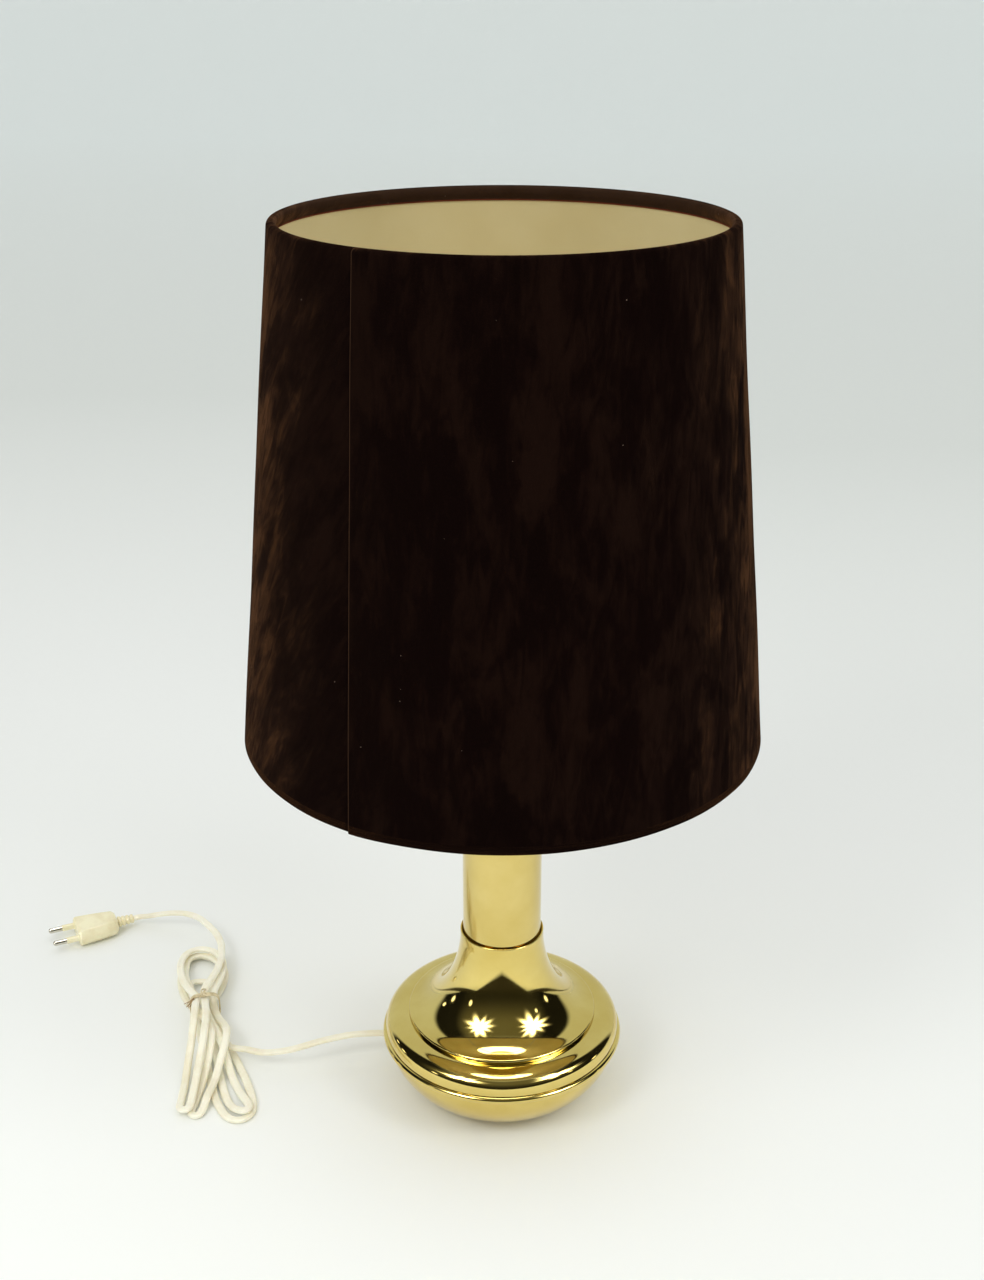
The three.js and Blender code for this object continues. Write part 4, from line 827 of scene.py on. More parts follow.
# %% A clouded finish
def clouded(name, light, dark, cloud, grain, depth, **sockets):
    """A finish with colour clouds of one size in mm and a surface grain of another."""
    finish, tree, shader = new_finish(name, **sockets)
    spot = add(tree, "ShaderNodeTexCoord").outputs["Object"]
    clouds = add(tree, "ShaderNodeTexNoise", {"Vector": spot, "Scale": 1 / (cloud * MM), "Detail": 4.0})
    colour = add(tree, "ShaderNodeValToRGB", {"Fac": clouds}, [(0.36, dark), (0.64, light)])
    tree.links.new(colour.outputs["Color"], shader.inputs["Base Color"])
    rough = add(tree, "ShaderNodeTexNoise", {"Vector": spot, "Scale": 1 / (grain * MM), "Detail": 3.0})
    bump = add(tree, "ShaderNodeBump", {"Height": rough, "Strength": 0.5, "Distance": depth * MM})
    tree.links.new(bump.outputs["Normal"], shader.inputs["Normal"])
    return finish


phenolic = clouded("moulded_black_phenolic", "#241c18", "#15100e", 9, 0.5, 0.01, Roughness=0.3, IOR=1.6)
porcelain = clouded("glazed_porcelain", "#f1ede3", "#e6e0d2", 14, 1.2, 0.02, Roughness=0.18)
zinc_steel = clouded("zinc_plated_steel", "#c4c7c8", "#a9acad", 5, 0.4, 0.02, Metallic=1.0, Roughness=0.34)
nickel = clouded("nickel_plated_brass", "#dcd8cc", "#c9c4b6", 6, 0.5, 0.01, Metallic=1.0, Roughness=0.2)
cast_iron = clouded("sand_cast_iron", "#454341", "#2c2a29", 7, 0.8, 0.3, Metallic=0.6, Roughness=0.72)
felt = clouded("pressed_wool_felt", "#35513f", "#26402f", 3, 0.35, 0.25, Roughness=1.0, Sheen_Weight=0.35)
opal_glass = clouded("opal_glass", "#f7f5ef", "#efece4", 20, 3, 0.01, Roughness=0.14)

# %% [markdown]
# ## Feet, weight and rod
# A felt disc is glued under the bowl. Inside, an iron weight sits on a dished washer and is held
# by nuts on the threaded rod that runs up to the lampholder. These CAD solids have the right
# shape and nobody sees them, so they stay and only get their finish.


# %% Finish for kept nodes
def dress(finish, *nodes):
    """Gives a finish to CAD solids that stay as they are."""
    for name in nodes:
        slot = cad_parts[name].material_slots[0]
        slot.link = "OBJECT"
        slot.material = finish


dress(zinc_steel, "bottom_washer", "bottom_nut", "ballast_nut", "threaded_rod", "neck_bridge")
dress(cast_iron, "ballast_weight")
dress(porcelain, "holder_core")
dress(spun_brass, "centre_contact")

# %% Felt disc
FELT_RADIUS = FOOT_RADIUS - 1.5
felt_edge = arc((FELT_RADIUS - 0.3, 0.3), 0.3, -90, 0, 4)
felt_disc = turned("felt_disc", [(0, 0), *felt_edge, (FELT_RADIUS, FELT), (0, FELT)], felt, 144)
place(felt_disc, "base", "felt", "felt_pad")

# %% [markdown]
# ## The cord's bush
# A moulded bush takes the lead through the bowl's side: a collar lies on the brass, and a short
# nose closes round the flex so that it cannot chafe. The bush is lofted along the outlet: its
# last ring has the flex's own section, a little larger.


# %% Bush
def outlet_ring(reach, radius, blend=0.0):
    """A ring about the outlet's axis, round or, with blend 1, of the flex's section."""
    across = np.array([-outlet_ahead[1], outlet_ahead[0], 0])
    ring = []
    for k, (x, y) in enumerate(flex_section() / MM):
        angle = 2 * math.pi * k / SECTION_SIDES
        aside = mix(radius * math.cos(angle), x * 1.1, blend)
        up = mix(radius * math.sin(angle), y * 1.15, blend)
        ring.append(outlet_ahead * reach + across * aside + np.array([0, 0, OUTLET_HEIGHT + up]))
    return np.array(ring) * MM


BUSH_RADIUS = 4.6
BUSH_TIP_RADIUS = 3.9
BUSH_COLLAR_RADIUS = 6.3
BUSH_COLLAR_REACH = 3
bush_tip = OUTLET_RADIUS + BUSH_OUTWARD
collar_face = OUTLET_RADIUS + BUSH_COLLAR_REACH
bush_rings = [
    (OUTLET_RADIUS - BUSH_INWARD, BUSH_RADIUS), (OUTLET_RADIUS - 1.6, BUSH_RADIUS),
    (OUTLET_RADIUS - 1.5, BUSH_COLLAR_RADIUS), (collar_face - 1.0, BUSH_COLLAR_RADIUS),
    (collar_face - 0.35, BUSH_COLLAR_RADIUS - 0.3), (collar_face - 0.05, BUSH_COLLAR_RADIUS - 1),
    (collar_face, BUSH_RADIUS), (collar_face + 0.3, BUSH_RADIUS - 0.25),
    (bush_tip - 0.5, BUSH_TIP_RADIUS), (bush_tip - 0.1, BUSH_TIP_RADIUS - 0.2),
    (bush_tip, BUSH_TIP_RADIUS - 0.5), (bush_tip - 0.05, 3, 1), (bush_tip - 2.5, 3, 1),
]
bush = loft("cord_bush_moulded", [outlet_ring(*ring) for ring in bush_rings], plug_pvc, 50)
place(bush, "base", "pvc", "cord_bush")

# %% Hole for the bush
hole_radius = BUSH_RADIUS + 0.3
pierced(bowl, loft("bush_hole", [
    outlet_ring(OUTLET_RADIUS - BUSH_INWARD, hole_radius), outlet_ring(bush_tip, hole_radius),
], spun_brass))

# %% [markdown]
# ## The lampholder
# A phenolic screw lampholder stands on the column: a domed body, a push-through switch bar, and
# a threaded skirt whose flange carries the shade. A ribbed ring screws down on the skirt and
# clamps the shade's spider. The ribs are one small bar, repeated round the axis by a second
# geometry tree.


# %% Repeat round the axis
def repeating_tree():
    """Repeats a piece round the Z axis, the first copy at a given turn."""
    tree, given = new_tree(
        "repeated_round_the_axis", ("Count", "Int"), ("Turn", "Float"), ("Finish", "Material"),
    )
    points = add(tree, "GeometryNodePoints", {"Count": given["Count"]})
    index = add(tree, "GeometryNodeInputIndex")
    step = add(tree, "ShaderNodeMath", {0: 2 * math.pi, 1: given["Count"]}, operation="DIVIDE")
    angle = add(tree, "ShaderNodeMath", {0: index, 1: step}, operation="MULTIPLY")
    angle = add(tree, "ShaderNodeMath", {0: angle, 1: given["Turn"]}, operation="ADD")
    turn = add(tree, "ShaderNodeCombineXYZ", {"Z": angle})
    copies = add(tree, "GeometryNodeInstanceOnPoints", {
        "Points": points, "Instance": given["Geometry"], "Rotation": turn,
    })
    real = add(tree, "GeometryNodeRealizeInstances", {"Geometry": copies})
    dressed = add(tree, "GeometryNodeSetMaterial", {"Geometry": real, "Material": given["Finish"]})
    add(tree, "NodeGroupOutput", {"Geometry": dressed})
    return tree


REPEATED = repeating_tree()


def copied_mesh(piece):
    """Takes the mesh out of a piece, whose own object is removed."""
    mesh = piece.data
    bpy.data.objects.remove(piece)
    return mesh


def rib(inner, outer, low, high, half_width):
    """One rib with a rounded face, standing on the X axis."""
    rings = []
    for height, out in ((low, outer - 0.4), (low + 0.5, outer), (high - 0.5, outer), (high, outer - 0.4)):
        rings.append(np.array([
            (inner, -half_width, height), (out - 0.3, -half_width, height), (out, -half_width * 0.4, height),
            (out, half_width * 0.4, height), (out - 0.3, half_width, height), (inner, half_width, height),
        ]) * MM)
    return rings


# %% Lampholder sizes
HOLDER_RADIUS = 19.2
SKIRT_RADIUS = 19.7
holder_foot = cap_top + 2 + GAP
dome_top = holder_foot + 25
skirt_low = dome_top + GAP
skirt_top = skirt_low + 30
flange_top = skirt_low + 7
switch_height = holder_foot + 16

# %% Domed body
dome_band = HOLDER_RADIUS + 0.4
dome_side = bezier(
    (12, holder_foot), (16.5, holder_foot + 0.8), (HOLDER_RADIUS, holder_foot + 3.5),
    (HOLDER_RADIUS, holder_foot + 8.5), 14,
)
dome = turned("holder_dome_moulded", [
    (ROD_HOLE, holder_foot), (12, holder_foot), *dome_side, (HOLDER_RADIUS, dome_top - 3),
    (dome_band, dome_top - 2.6), (dome_band, dome_top - 0.4), (HOLDER_RADIUS, dome_top), (17, dome_top),
    (17, holder_foot + 9), (14, holder_foot + 5.4), (ROD_HOLE, holder_foot + 3.4),
], phenolic, 128)
place(dome, "base", "bakelite", "holder_dome")

# %% Threaded skirt
SKIRT_THREAD = (2.6, 0.35)  # pitch and depth
WALL_STEP = 0.35  # height between points of the threaded wall
thread_low, thread_high = flange_top + 1, skirt_top - 1
thread_wall = [
    (SKIRT_RADIUS - 0.4, thread_low + WALL_STEP * i)
    for i in range(int((skirt_top - flange_top - 2) / WALL_STEP))
]
skirt = turned("holder_skirt_moulded", [
    (17.3, skirt_low), (SKIRT_RADIUS, skirt_low), (SKIRT_RADIUS, flange_top - 3), (23.6, flange_top - 3),
    (24, flange_top - 2.6), (24, flange_top - 0.4), (23.6, flange_top), (SKIRT_RADIUS, flange_top),
    *thread_wall, (SKIRT_RADIUS - 0.6, skirt_top), (17.3, skirt_top),
], phenolic, 128, (*SKIRT_THREAD, thread_low, thread_high))
place(skirt, "base", "bakelite", "holder_skirt")

grip_mesh = copied_mesh(loft("grip_rib", rib(19.5, 20.6, skirt_low + 0.4, flange_top - 3.2, 0.6), phenolic))
grip = grown("holder_grip_ribs", grip_mesh, REPEATED, count=40, turn=0.0, finish=phenolic)
place(grip, "base", "bakelite")

# %% Screw shell
BULB_THREAD = (3.6, 0.5)  # pitch and depth
SHELL_RISE = 30  # of its lower edge over the holder's foot
SHELL_HEIGHT = 21
shell_low = holder_foot + SHELL_RISE + GAP
shell_top = shell_low + SHELL_HEIGHT
screw_shell = turned("screw_shell_rolled", [
    (14.3, shell_low), (14.9, shell_low), *[(14.9, shell_low + 0.5 * i) for i in range(1, 42)],
    (14.9, shell_top), (14.3, shell_top), *[(14.3, shell_top - 0.5 * i) for i in range(1, 42)],
], drawn_brass, 128, (*BULB_THREAD, shell_low + 1, shell_low + 20))
place(screw_shell, "base", "brass", "screw_shell")

# %% Shade ring
FITTER_WALL = 1.6
ring_low = flange_top + 2 * GAP + FITTER_WALL
shade_ring = turned("shade_ring_moulded", [
    (20, ring_low), (25.6, ring_low), (26, ring_low + 0.4), (26, ring_low + 1.7), (25.6, ring_low + 2.2),
    (23.4, ring_low + 2.7), (23, ring_low + 3.4), (23, ring_low + 6.6), (22.6, ring_low + 7),
    (20, ring_low + 7),
], phenolic, 128)
place(shade_ring, "ring", "bakelite", "shade_ring")
knurl_mesh = copied_mesh(loft("knurl_rib", rib(22.8, 24.4, ring_low + 2.4, ring_low + 6.7, 0.8), phenolic))
knurl = grown("shade_ring_ribs", knurl_mesh, REPEATED, count=30, turn=0.05, finish=phenolic)
place(knurl, "ring", "bakelite")

# %% Switch bar
BAR_HALF_WIDTH = 2
BAR_HALF_HEIGHT = 2.5
BAR_OUT = 3  # how far the bar stands out when it is pushed in
BAR_TRAVEL = 7


def bar_ring(x, shrink):
    """A rectangle with round corners, across the bar, all round smaller by a shrink."""
    half_y, half_z = BAR_HALF_WIDTH - shrink, BAR_HALF_HEIGHT - shrink
    corner = min(0.6, half_y)
    outline = []
    for quarter, (sy, sz) in enumerate(((1, 1), (-1, 1), (-1, -1), (1, -1))):
        for step in range(4):
            angle = math.radians(90 * quarter + 30 * step)
            y = sy * (half_y - corner) + corner * math.cos(angle)
            z = sz * (half_z - corner) + corner * math.sin(angle) + switch_height
            outline.append((x, y, z))
    return np.array(outline) * MM


bar_left = -HOLDER_RADIUS - BAR_OUT - BAR_TRAVEL
bar_right = HOLDER_RADIUS + BAR_OUT
bar = loft("switch_bar_moulded", [
    bar_ring(bar_left, 0.9), bar_ring(bar_left + 0.3, 0.35), bar_ring(bar_left + 1, 0),
    bar_ring(bar_right - 1, 0), bar_ring(bar_right - 0.3, 0.35), bar_ring(bar_right, 0.9),
], phenolic)
place(bar, "switch", "bakelite", "switch_bar")
pierced(dome, loft("switch_slot", [bar_ring(bar_left - 1, -0.3), bar_ring(bar_right + 1, -0.3)], phenolic))

# %% [markdown]
# ## The bulb
# A screw bulb with an opal globe. Its cap is rolled from thin metal, so its thread is a round
# wave and not a sharp groove. The glass is a thin shell that is open where the cap closes it.

# %% Bulb cap
CONTACT_HEIGHT = 2.4  # of the spring contact that the bulb's tip rests on
tip_low = shell_low + CONTACT_HEIGHT + GAP
screw_low = tip_low + 2.5
glass_low = screw_low + 22
bulb_tip = turned("bulb_contact", [
    (0, tip_low), (2.5, tip_low + 0.1), (4, tip_low + 0.5), (8, screw_low - GAP), (0, screw_low - GAP),
], nickel, 96)
place(bulb_tip, "bulb", "nickel", "bulb_tip")
bulb_cap = turned("bulb_screw_cap", [
    (0, screw_low), (9.6, screw_low), (11.2, screw_low + 0.6), (12.8, screw_low + 2.4),
    *[(13.0, screw_low + 3 + 0.4 * i) for i in range(40)], (13.2, screw_low + 20), (13.2, glass_low),
    (0, glass_low),
], nickel, 128, (*BULB_THREAD, screw_low + 3, screw_low + 18))
place(bulb_cap, "bulb", "nickel", "bulb_cap")

# %% Globe
GLOBE_RADIUS = 30
GLOBE_HEIGHT = 82  # from the cap to the top
GLASS_WALL = 1
bulb_middle = glass_low + GLOBE_HEIGHT - GLOBE_RADIUS
globe_outer = bezier(
    (14.5, glass_low + GAP), (15.5, glass_low + 16), (GLOBE_RADIUS, bulb_middle - 20),
    (GLOBE_RADIUS, bulb_middle), 30,
)
globe_outer += arc((0, bulb_middle), GLOBE_RADIUS, 0, 90, 24)[1:]
globe_outer[-1] = (0, bulb_middle + GLOBE_RADIUS)
globe_inner = [
    (max(r - GLASS_WALL, 0), z - GLASS_WALL * max(z - bulb_middle, 0) / GLOBE_RADIUS) for r, z in globe_outer
]
globe_inner[-1] = (0, bulb_middle + (GLOBE_RADIUS - GLASS_WALL))
globe = turned("bulb_globe", [*globe_outer, *reversed(globe_inner)], opal_glass, 144)
place(globe, "bulb", "glass", "bulb_glass")

# %% [markdown]
# ## The wire frame
# The shade's frame is zinc-plated wire: a ring in each hem, and three arms from the fitter ring
# down to the lower one. A third geometry tree makes wire: it turns a line into a curve and gives
# it a round section with Curve to Mesh. The arm is made once and repeated three times.


# %% Wire tree
def wire_tree():
    """Gives lines a round section and closes their ends."""
    tree, given = new_tree(
        "wire_along_a_line", ("Radius", "Float"), ("Sides", "Int"), ("Finish", "Material"),
    )
    path = add(tree, "GeometryNodeMeshToCurve", {"Mesh": given["Geometry"]})
    section = add(tree, "GeometryNodeCurvePrimitiveCircle", {
        "Resolution": given["Sides"], "Radius": given["Radius"],
    })
    wire = add(tree, "GeometryNodeCurveToMesh", {"Curve": path, "Profile Curve": section, "Fill Caps": True})
    real = add(tree, "GeometryNodeRealizeInstances", {"Geometry": wire})
    welded = add(tree, "GeometryNodeMergeByDistance", {"Geometry": real, "Distance": WELD})
    dressed = add(tree, "GeometryNodeSetMaterial", {"Geometry": welded, "Material": given["Finish"]})
    add(tree, "NodeGroupOutput", {"Geometry": dressed})
    return tree


WIRE = wire_tree()


def wire(name, radius, finish, *lines, closed=False, sides=16):
    """Wire or string along lines of points in metres, with a radius in mm."""
    edges = line_mesh(name, *lines, closed=closed)
    return grown(name, edges, WIRE, radius=radius * MM, sides=sides, finish=finish)


# %% Shade sizes
SHADE_LOW = 265
SHADE_HIGH = 572
SHADE_LOW_RADIUS = 157.8
SHADE_HIGH_RADIUS = 128
COVER = 1.0
LINING = 0.6
HEM = 0.8
HEM_DEPTH = 9
WIRE_RADIUS = 1.5
HEM_ROOM = 2 * WIRE_RADIUS + 2 * GAP
shade_slope = (SHADE_HIGH_RADIUS - SHADE_LOW_RADIUS) / (SHADE_HIGH - SHADE_LOW)


def shade_radius(height):
    """The radius of the shade's outer cone at a height, both in mm."""
    return SHADE_LOW_RADIUS + shade_slope * (height - SHADE_LOW)


# %% Wire rings
ring_inset = HEM + GAP + WIRE_RADIUS
lower_ring_height = SHADE_LOW + ring_inset
around = np.linspace(0, 2 * math.pi, 241)[:-1]
for ring_name, node_name, height in (
    ("lower_ring_wire", "lower_wire_ring", lower_ring_height),
    ("upper_ring_wire", "upper_wire_ring", SHADE_HIGH - ring_inset),
):
    radius = shade_radius(height) - COVER - GAP - WIRE_RADIUS
    hoop = [(radius * math.cos(a) * MM, radius * math.sin(a) * MM, height * MM) for a in around]
    place(wire(ring_name, WIRE_RADIUS, zinc_steel, hoop, closed=True, sides=12), "shade", "steel", node_name)


# %% Fitter ring
fitter_low = flange_top + GAP
fitter_top = fitter_low + FITTER_WALL
fitter = turned("fitter_ring_pressed", [
    (20, fitter_low), (26.6, fitter_low), (27, fitter_low + 0.4), (27, fitter_low + 1.2),
    (26.6, fitter_top), (20, fitter_top),
], zinc_steel, 128)
place(fitter, "shade", "steel", "fitter_ring")

# %% Arms
ARM_RADIUS = 1.6
arm_start = (27.3, 0, fitter_low + 0.8)
arm_reach = shade_radius(SHADE_LOW + HEM_DEPTH) - COVER - HEM_ROOM - HEM - GAP
arm_end = (arm_reach, 0, lower_ring_height + ARM_RADIUS)
arm_line = smooth_path([
    (26.2, 0, arm_start[2]), arm_start, (arm_start[0] + 8, 0, arm_start[2]),
    (mix(arm_start[0], arm_end[0], 0.5), 0, mix(arm_start[2], arm_end[2], 0.45)),
    (arm_end[0] - 8, 0, arm_end[2]), arm_end, (arm_end[0] + 2, 0, arm_end[2] - 0.6),
], 3.0) * MM
arm = copied_mesh(wire("spider_arm", ARM_RADIUS, zinc_steel, arm_line))
spider = grown("spider_arms", arm, REPEATED, count=3, turn=math.pi / 2, finish=zinc_steel)
place(spider, "shade", "steel", "spider_arm_1", "spider_arm_2", "spider_arm_3")

# %% [markdown]
# ## Crushed velvet
# The cover is cotton velvet in a dark brown. Velvet is cut pile: thousands of short threads that
# stand up from a ground weave. Seen along the threads it is nearly black, and seen across them
# the lit sides of the threads show as a warm sheen, so its edges look lighter than its middle.
# Where the pile has been pressed it leans over, which gives soft patches and drawn-out streaks a
# few centimetres long, and a little pale lint sits on it. The pattern is laid on the flat cut of
# the cloth, from the UV map, so it breaks at the lapped seam as real cloth does.


# %% Marks in the pile
def streaks(tree, cloth, angle, width, length, distortion):
    """Soft streaks of a width and length in mm; each colour channel leans the pile another way."""
    turn = (0, 0, math.radians(angle))
    scale = (1 / (width * MM), 1 / (length * MM), 1)
    laid = add(tree, "ShaderNodeMapping", {"Vector": cloth, "Rotation": turn, "Scale": scale})
    return add(tree, "ShaderNodeTexNoise", {
        "Vector": laid, "Scale": 1.0, "Detail": 4.0, "Roughness": 0.55, "Distortion": distortion,
    }).outputs["Color"]


def creased_cells(tree, cloth, angle, width, length):
    """Leaf-shaped patches of crushed pile with soft edges, of a width and length in mm."""
    turn = (0, 0, math.radians(angle))
    scale = (1 / (width * MM), 1 / (length * MM), 1)
    laid = add(tree, "ShaderNodeMapping", {"Vector": cloth, "Rotation": turn, "Scale": scale})
    bend = add(tree, "ShaderNodeTexNoise", {"Vector": cloth, "Scale": 1 / (width * MM), "Detail": 3.0})
    pushed = add(tree, "ShaderNodeVectorMath", {
        0: bend.outputs["Color"], 1: (1.1, 1.1, 0), 2: laid,
    }, operation="MULTIPLY_ADD")
    return add(tree, "ShaderNodeTexVoronoi", {
        "Vector": pushed, "Scale": 1.0, "Smoothness": 1.0,
    }, feature="SMOOTH_F1").outputs["Color"]


def crushed_marks(tree, cloth):
    """All the marks added up: each channel says how far the pile leans one way."""
    marks = streaks(tree, cloth, 12, 24, 60, 1.6)
    narrow = streaks(tree, cloth, -16, 6, 26, 1.2)
    leaves = creased_cells(tree, cloth, -10, 15, 44)
    for more, share in ((narrow, 0.9), (leaves, 0.5)):
        marks = add(tree, "ShaderNodeVectorMath", {
            0: more, 1: (share, share, share), 2: marks,
        }, operation="MULTIPLY_ADD")
    return marks


# %% Colour of the velvet
LINT_SPACING = 11
LINT_REACH = 0.026  # of a speck, as a share of the spacing
BARE_SHARE = 0.75  # of the places, which have no speck


def lint(tree, cloth):
    """1 on a few small specks of the cloth."""
    specks = add(tree, "ShaderNodeTexVoronoi", {"Vector": cloth, "Scale": 1 / (LINT_SPACING * MM)}).outputs
    near = add(tree, "ShaderNodeMath", {0: specks["Distance"], 1: LINT_REACH}, operation="LESS_THAN")
    draw = add(tree, "ShaderNodeSeparateColor", {0: specks["Color"]})
    chosen = add(tree, "ShaderNodeMath", {0: draw, 1: BARE_SHARE}, operation="GREATER_THAN")
    return add(tree, "ShaderNodeMath", {0: near, 1: chosen}, operation="MULTIPLY")


def velvet_colour(tree, cloth, marks):
    """Nearly black where the pile stands, brown where it is pressed, paler at a cut edge, and a lighter brown
    on the turned-in hem and the seam's edge, which is painted sheen.
    """
    first_mark = add(tree, "ShaderNodeSeparateXYZ", {0: marks})
    pressed = add(tree, "ShaderNodeMapRange", {
        "Value": first_mark, "From Min": 0.95, "From Max": 1.5,
    }, interpolation_type="SMOOTHSTEP")
    pile = add(tree, "ShaderNodeMix", {0: pressed, 6: "#0b0403", 7: "#160b07"}, data_type="RGBA").outputs[2]
    edge = add(tree, "ShaderNodeAttribute", attribute_name="cut_edge").outputs["Fac"]
    # Painted sheen: the turned-in hem and the seam's edge (0.5) get a lighter brown, as if lit from the
    # front. The cut edge (1) gets the cloth's own reddish colour.
    hem_edge_and_sheen_colours = add(tree, "ShaderNodeValToRGB", {"Fac": edge}, [(0.5, "#35251b"), (1.0, "#6e3324")])
    on_edge_or_sheen = add(tree, "ShaderNodeMath", {0: edge, 1: 2}, operation="MULTIPLY", use_clamp=True)
    clean = add(tree, "ShaderNodeMix", {0: on_edge_or_sheen, 6: pile, 7: hem_edge_and_sheen_colours}, data_type="RGBA").outputs[2]
    specks = lint(tree, cloth)
    return add(tree, "ShaderNodeMix", {0: specks, 6: clean, 7: "#7b6a60"}, data_type="RGBA").outputs[2]


# %% Pile of the velvet
def leaning_pile(tree, cloth, marks):
    """The direction that the pile faces: the wall's own, leaned by the marks, rough with threads."""
    lean = add(tree, "ShaderNodeVectorMath", {0: marks, 1: (1.2, 1.2, 1.2)}, operation="SUBTRACT")
    tilt = add(tree, "ShaderNodeVectorMath", {0: lean, "Scale": 0.85}, operation="SCALE")
    upright = add(tree, "ShaderNodeNewGeometry").outputs["Normal"]
    leaning = add(tree, "ShaderNodeVectorMath", {0: upright, 1: tilt}, operation="ADD")
    leaning = add(tree, "ShaderNodeVectorMath", {0: leaning}, operation="NORMALIZE")
    threads = add(tree, "ShaderNodeTexNoise", {"Vector": cloth, "Scale": 1 / (0.7 * MM), "Detail": 2.0})
    return add(tree, "ShaderNodeBump", {
        "Height": threads, "Strength": 0.8, "Distance": 0.3 * MM, "Normal": leaning,
    }).outputs["Normal"]


def velvet():
    """Crushed velvet, with its colour and the lean of its pile on the flat cut's UV map."""
    finish, tree, shader = new_finish(
        "crushed_cotton_velvet", Roughness=0.95, Specular_IOR_Level=0.02,
        Sheen_Weight=0.5, Sheen_Roughness=0.3,
    )
    shader.inputs["Sheen Tint"].default_value = linear("#8a5a32")
    cloth = add(tree, "ShaderNodeUVMap", uv_map="cloth").outputs["UV"]
    marks = crushed_marks(tree, cloth)
    tree.links.new(velvet_colour(tree, cloth, marks), shader.inputs["Base Color"])
    tree.links.new(leaning_pile(tree, cloth, marks), shader.inputs["Normal"])
    return finish


cover_velvet = velvet()

# %% [markdown]
# ## The cover
# The cover is one flat cut, a slice of a wide ring, bent to a cone and lapped at a single seam:
# the edge right of the seam lies over the other one. At both rims the velvet goes round the wire
# and is turned in by 9 mm, where it is glued on the lining, its cut edge showing as a thin
# reddish line. One section, from the outer wall over the rim and back inside, is carried round
# the cone; its outer side stands one thickness prouder at the seam and eases back to the round.

# %% Section of the cover
SEAM_AZIMUTH = 237.8  # at the lower rim
SEAM_TWIST = 3.1  # how much further left the seam ends at the upper rim
SEAM_LAP = 24
MEAN_RADIUS = 145  # of the cover, for lengths along its walls
MM_PER_DEGREE = math.pi * MEAN_RADIUS / 180
WALL_STEPS = 84
CREST = 2.3  # height of the round part of a rim
CREST_POINTS = 13


def rim_section():
    """The upper rim as (depth, distance from the rim, 1 at the hem's cut edge and 0.5 for painted sheen on
    the turned-in face).
    """
    half = (COVER + HEM_ROOM + HEM) / 2
    # The third value is 1 at the cut edge, and 0.5 where painted sheen makes the turned-in hem lighter: on
    # the inner half of the crest and on the face.
    crest = [
        (half - half * math.cos(a), CREST - CREST * math.sin(a), 0.5 if a > 1.9 else 0)
        for a in np.radians(np.linspace(0, 180, CREST_POINTS))
    ]
    face = [(5.35, 3.4), (5.0, 5.0), (4.2, 6.2), (3.4, 7.2), (3.0, 8.2)]
    face = [(*point, 0.5) for point in face] + [(2.9, 8.9, 1), (2.75, 9.25, 1)]
    back = [(2.2, 9.25, 1), (2.05, 8.9, 1), (2.15, 8.0, 0), (2.5, 6.8, 0), (3.3, 5.6, 0), (4.2, 4.6, 0)]
    under = [(4.55, 3.0, 0), (4.2, 1.7, 0), (2.8, 1.0, 0), (1.5, 1.5, 0), (COVER, 2.6, 0)]
    return crest + face + back + under


def cover_section():
    """Closed section points (depth from the outer cone, height, cut edge or painted sheen), and their share
    of the lap.
    """
    low = [(d, SHADE_LOW + h, e) for d, h, e in rim_section()]
    high = [(d, SHADE_HIGH - h, e) for d, h, e in rim_section()]
    walls = np.linspace(SHADE_LOW + CREST, SHADE_HIGH - CREST, WALL_STEPS + 1)[1:-1]
    outer = [(0, h, 0) for h in walls]
    inner = [(COVER, h, 0) for h in np.linspace(SHADE_HIGH - 12, SHADE_LOW + 12, 10)]
    points = outer + high + inner + low[::-1]
    outside = len(outer)
    shares = []
    for i, (depth, *_) in enumerate(points):
        crest_point = i < outside + CREST_POINTS or i >= len(points) - CREST_POINTS
        shares.append(max(0.0, 1 - depth / 2.7) if crest_point else 0.0)
    return points, shares


# %% The lapped seam
LAP_HEIGHT = 1.35
LAP_SETTLE = 0.12  # how much lower the cloth lies behind its edge
LAP_EDGE = 2.2  # over which it settles
SEAM_DIP = 0.35  # depth and width of the shadow line left of the edge


def lap_at(arc_mm, degrees_right):
    """How far the cover stands proud at a distance right of the seam."""
    if arc_mm < 0:
        return -SEAM_DIP * math.exp(-((arc_mm + 0.55) / SEAM_DIP) ** 2)
    if arc_mm < LAP_EDGE:
        edge = math.sin(math.pi / 2 * min((arc_mm + 0.12) / 0.8, 1))
        return LAP_HEIGHT * edge - LAP_SETTLE * rise(arc_mm / LAP_EDGE)
    return (LAP_HEIGHT - LAP_SETTLE) * (1 - rise(degrees_right / SEAM_LAP))


def seam_columns():
    """Angles right of the seam in degrees: even all round, and close together at the seam."""
    close = [0, 0.25, 0.5, 0.8, 1.2, 1.8, 2.8]
    left = [-5.0, -3.0, -1.6, -0.9, -0.6, -0.35, -0.12]
    even = np.arange(1, 360) * 1.0
    inner = [a for a in even if 3.5 / MM_PER_DEGREE < a < 360 - 6.0 / MM_PER_DEGREE]
    return [s / MM_PER_DEGREE for s in close] + inner + [360 + s / MM_PER_DEGREE for s in left]


# %% Cover mesh
RIPPLES = ((3, 0.9), (5, 1.7), (8, 1.1), (13, 2.3), (21, 3.1))  # waves round the shade, and up it
RIPPLE_HEIGHT = 0.12


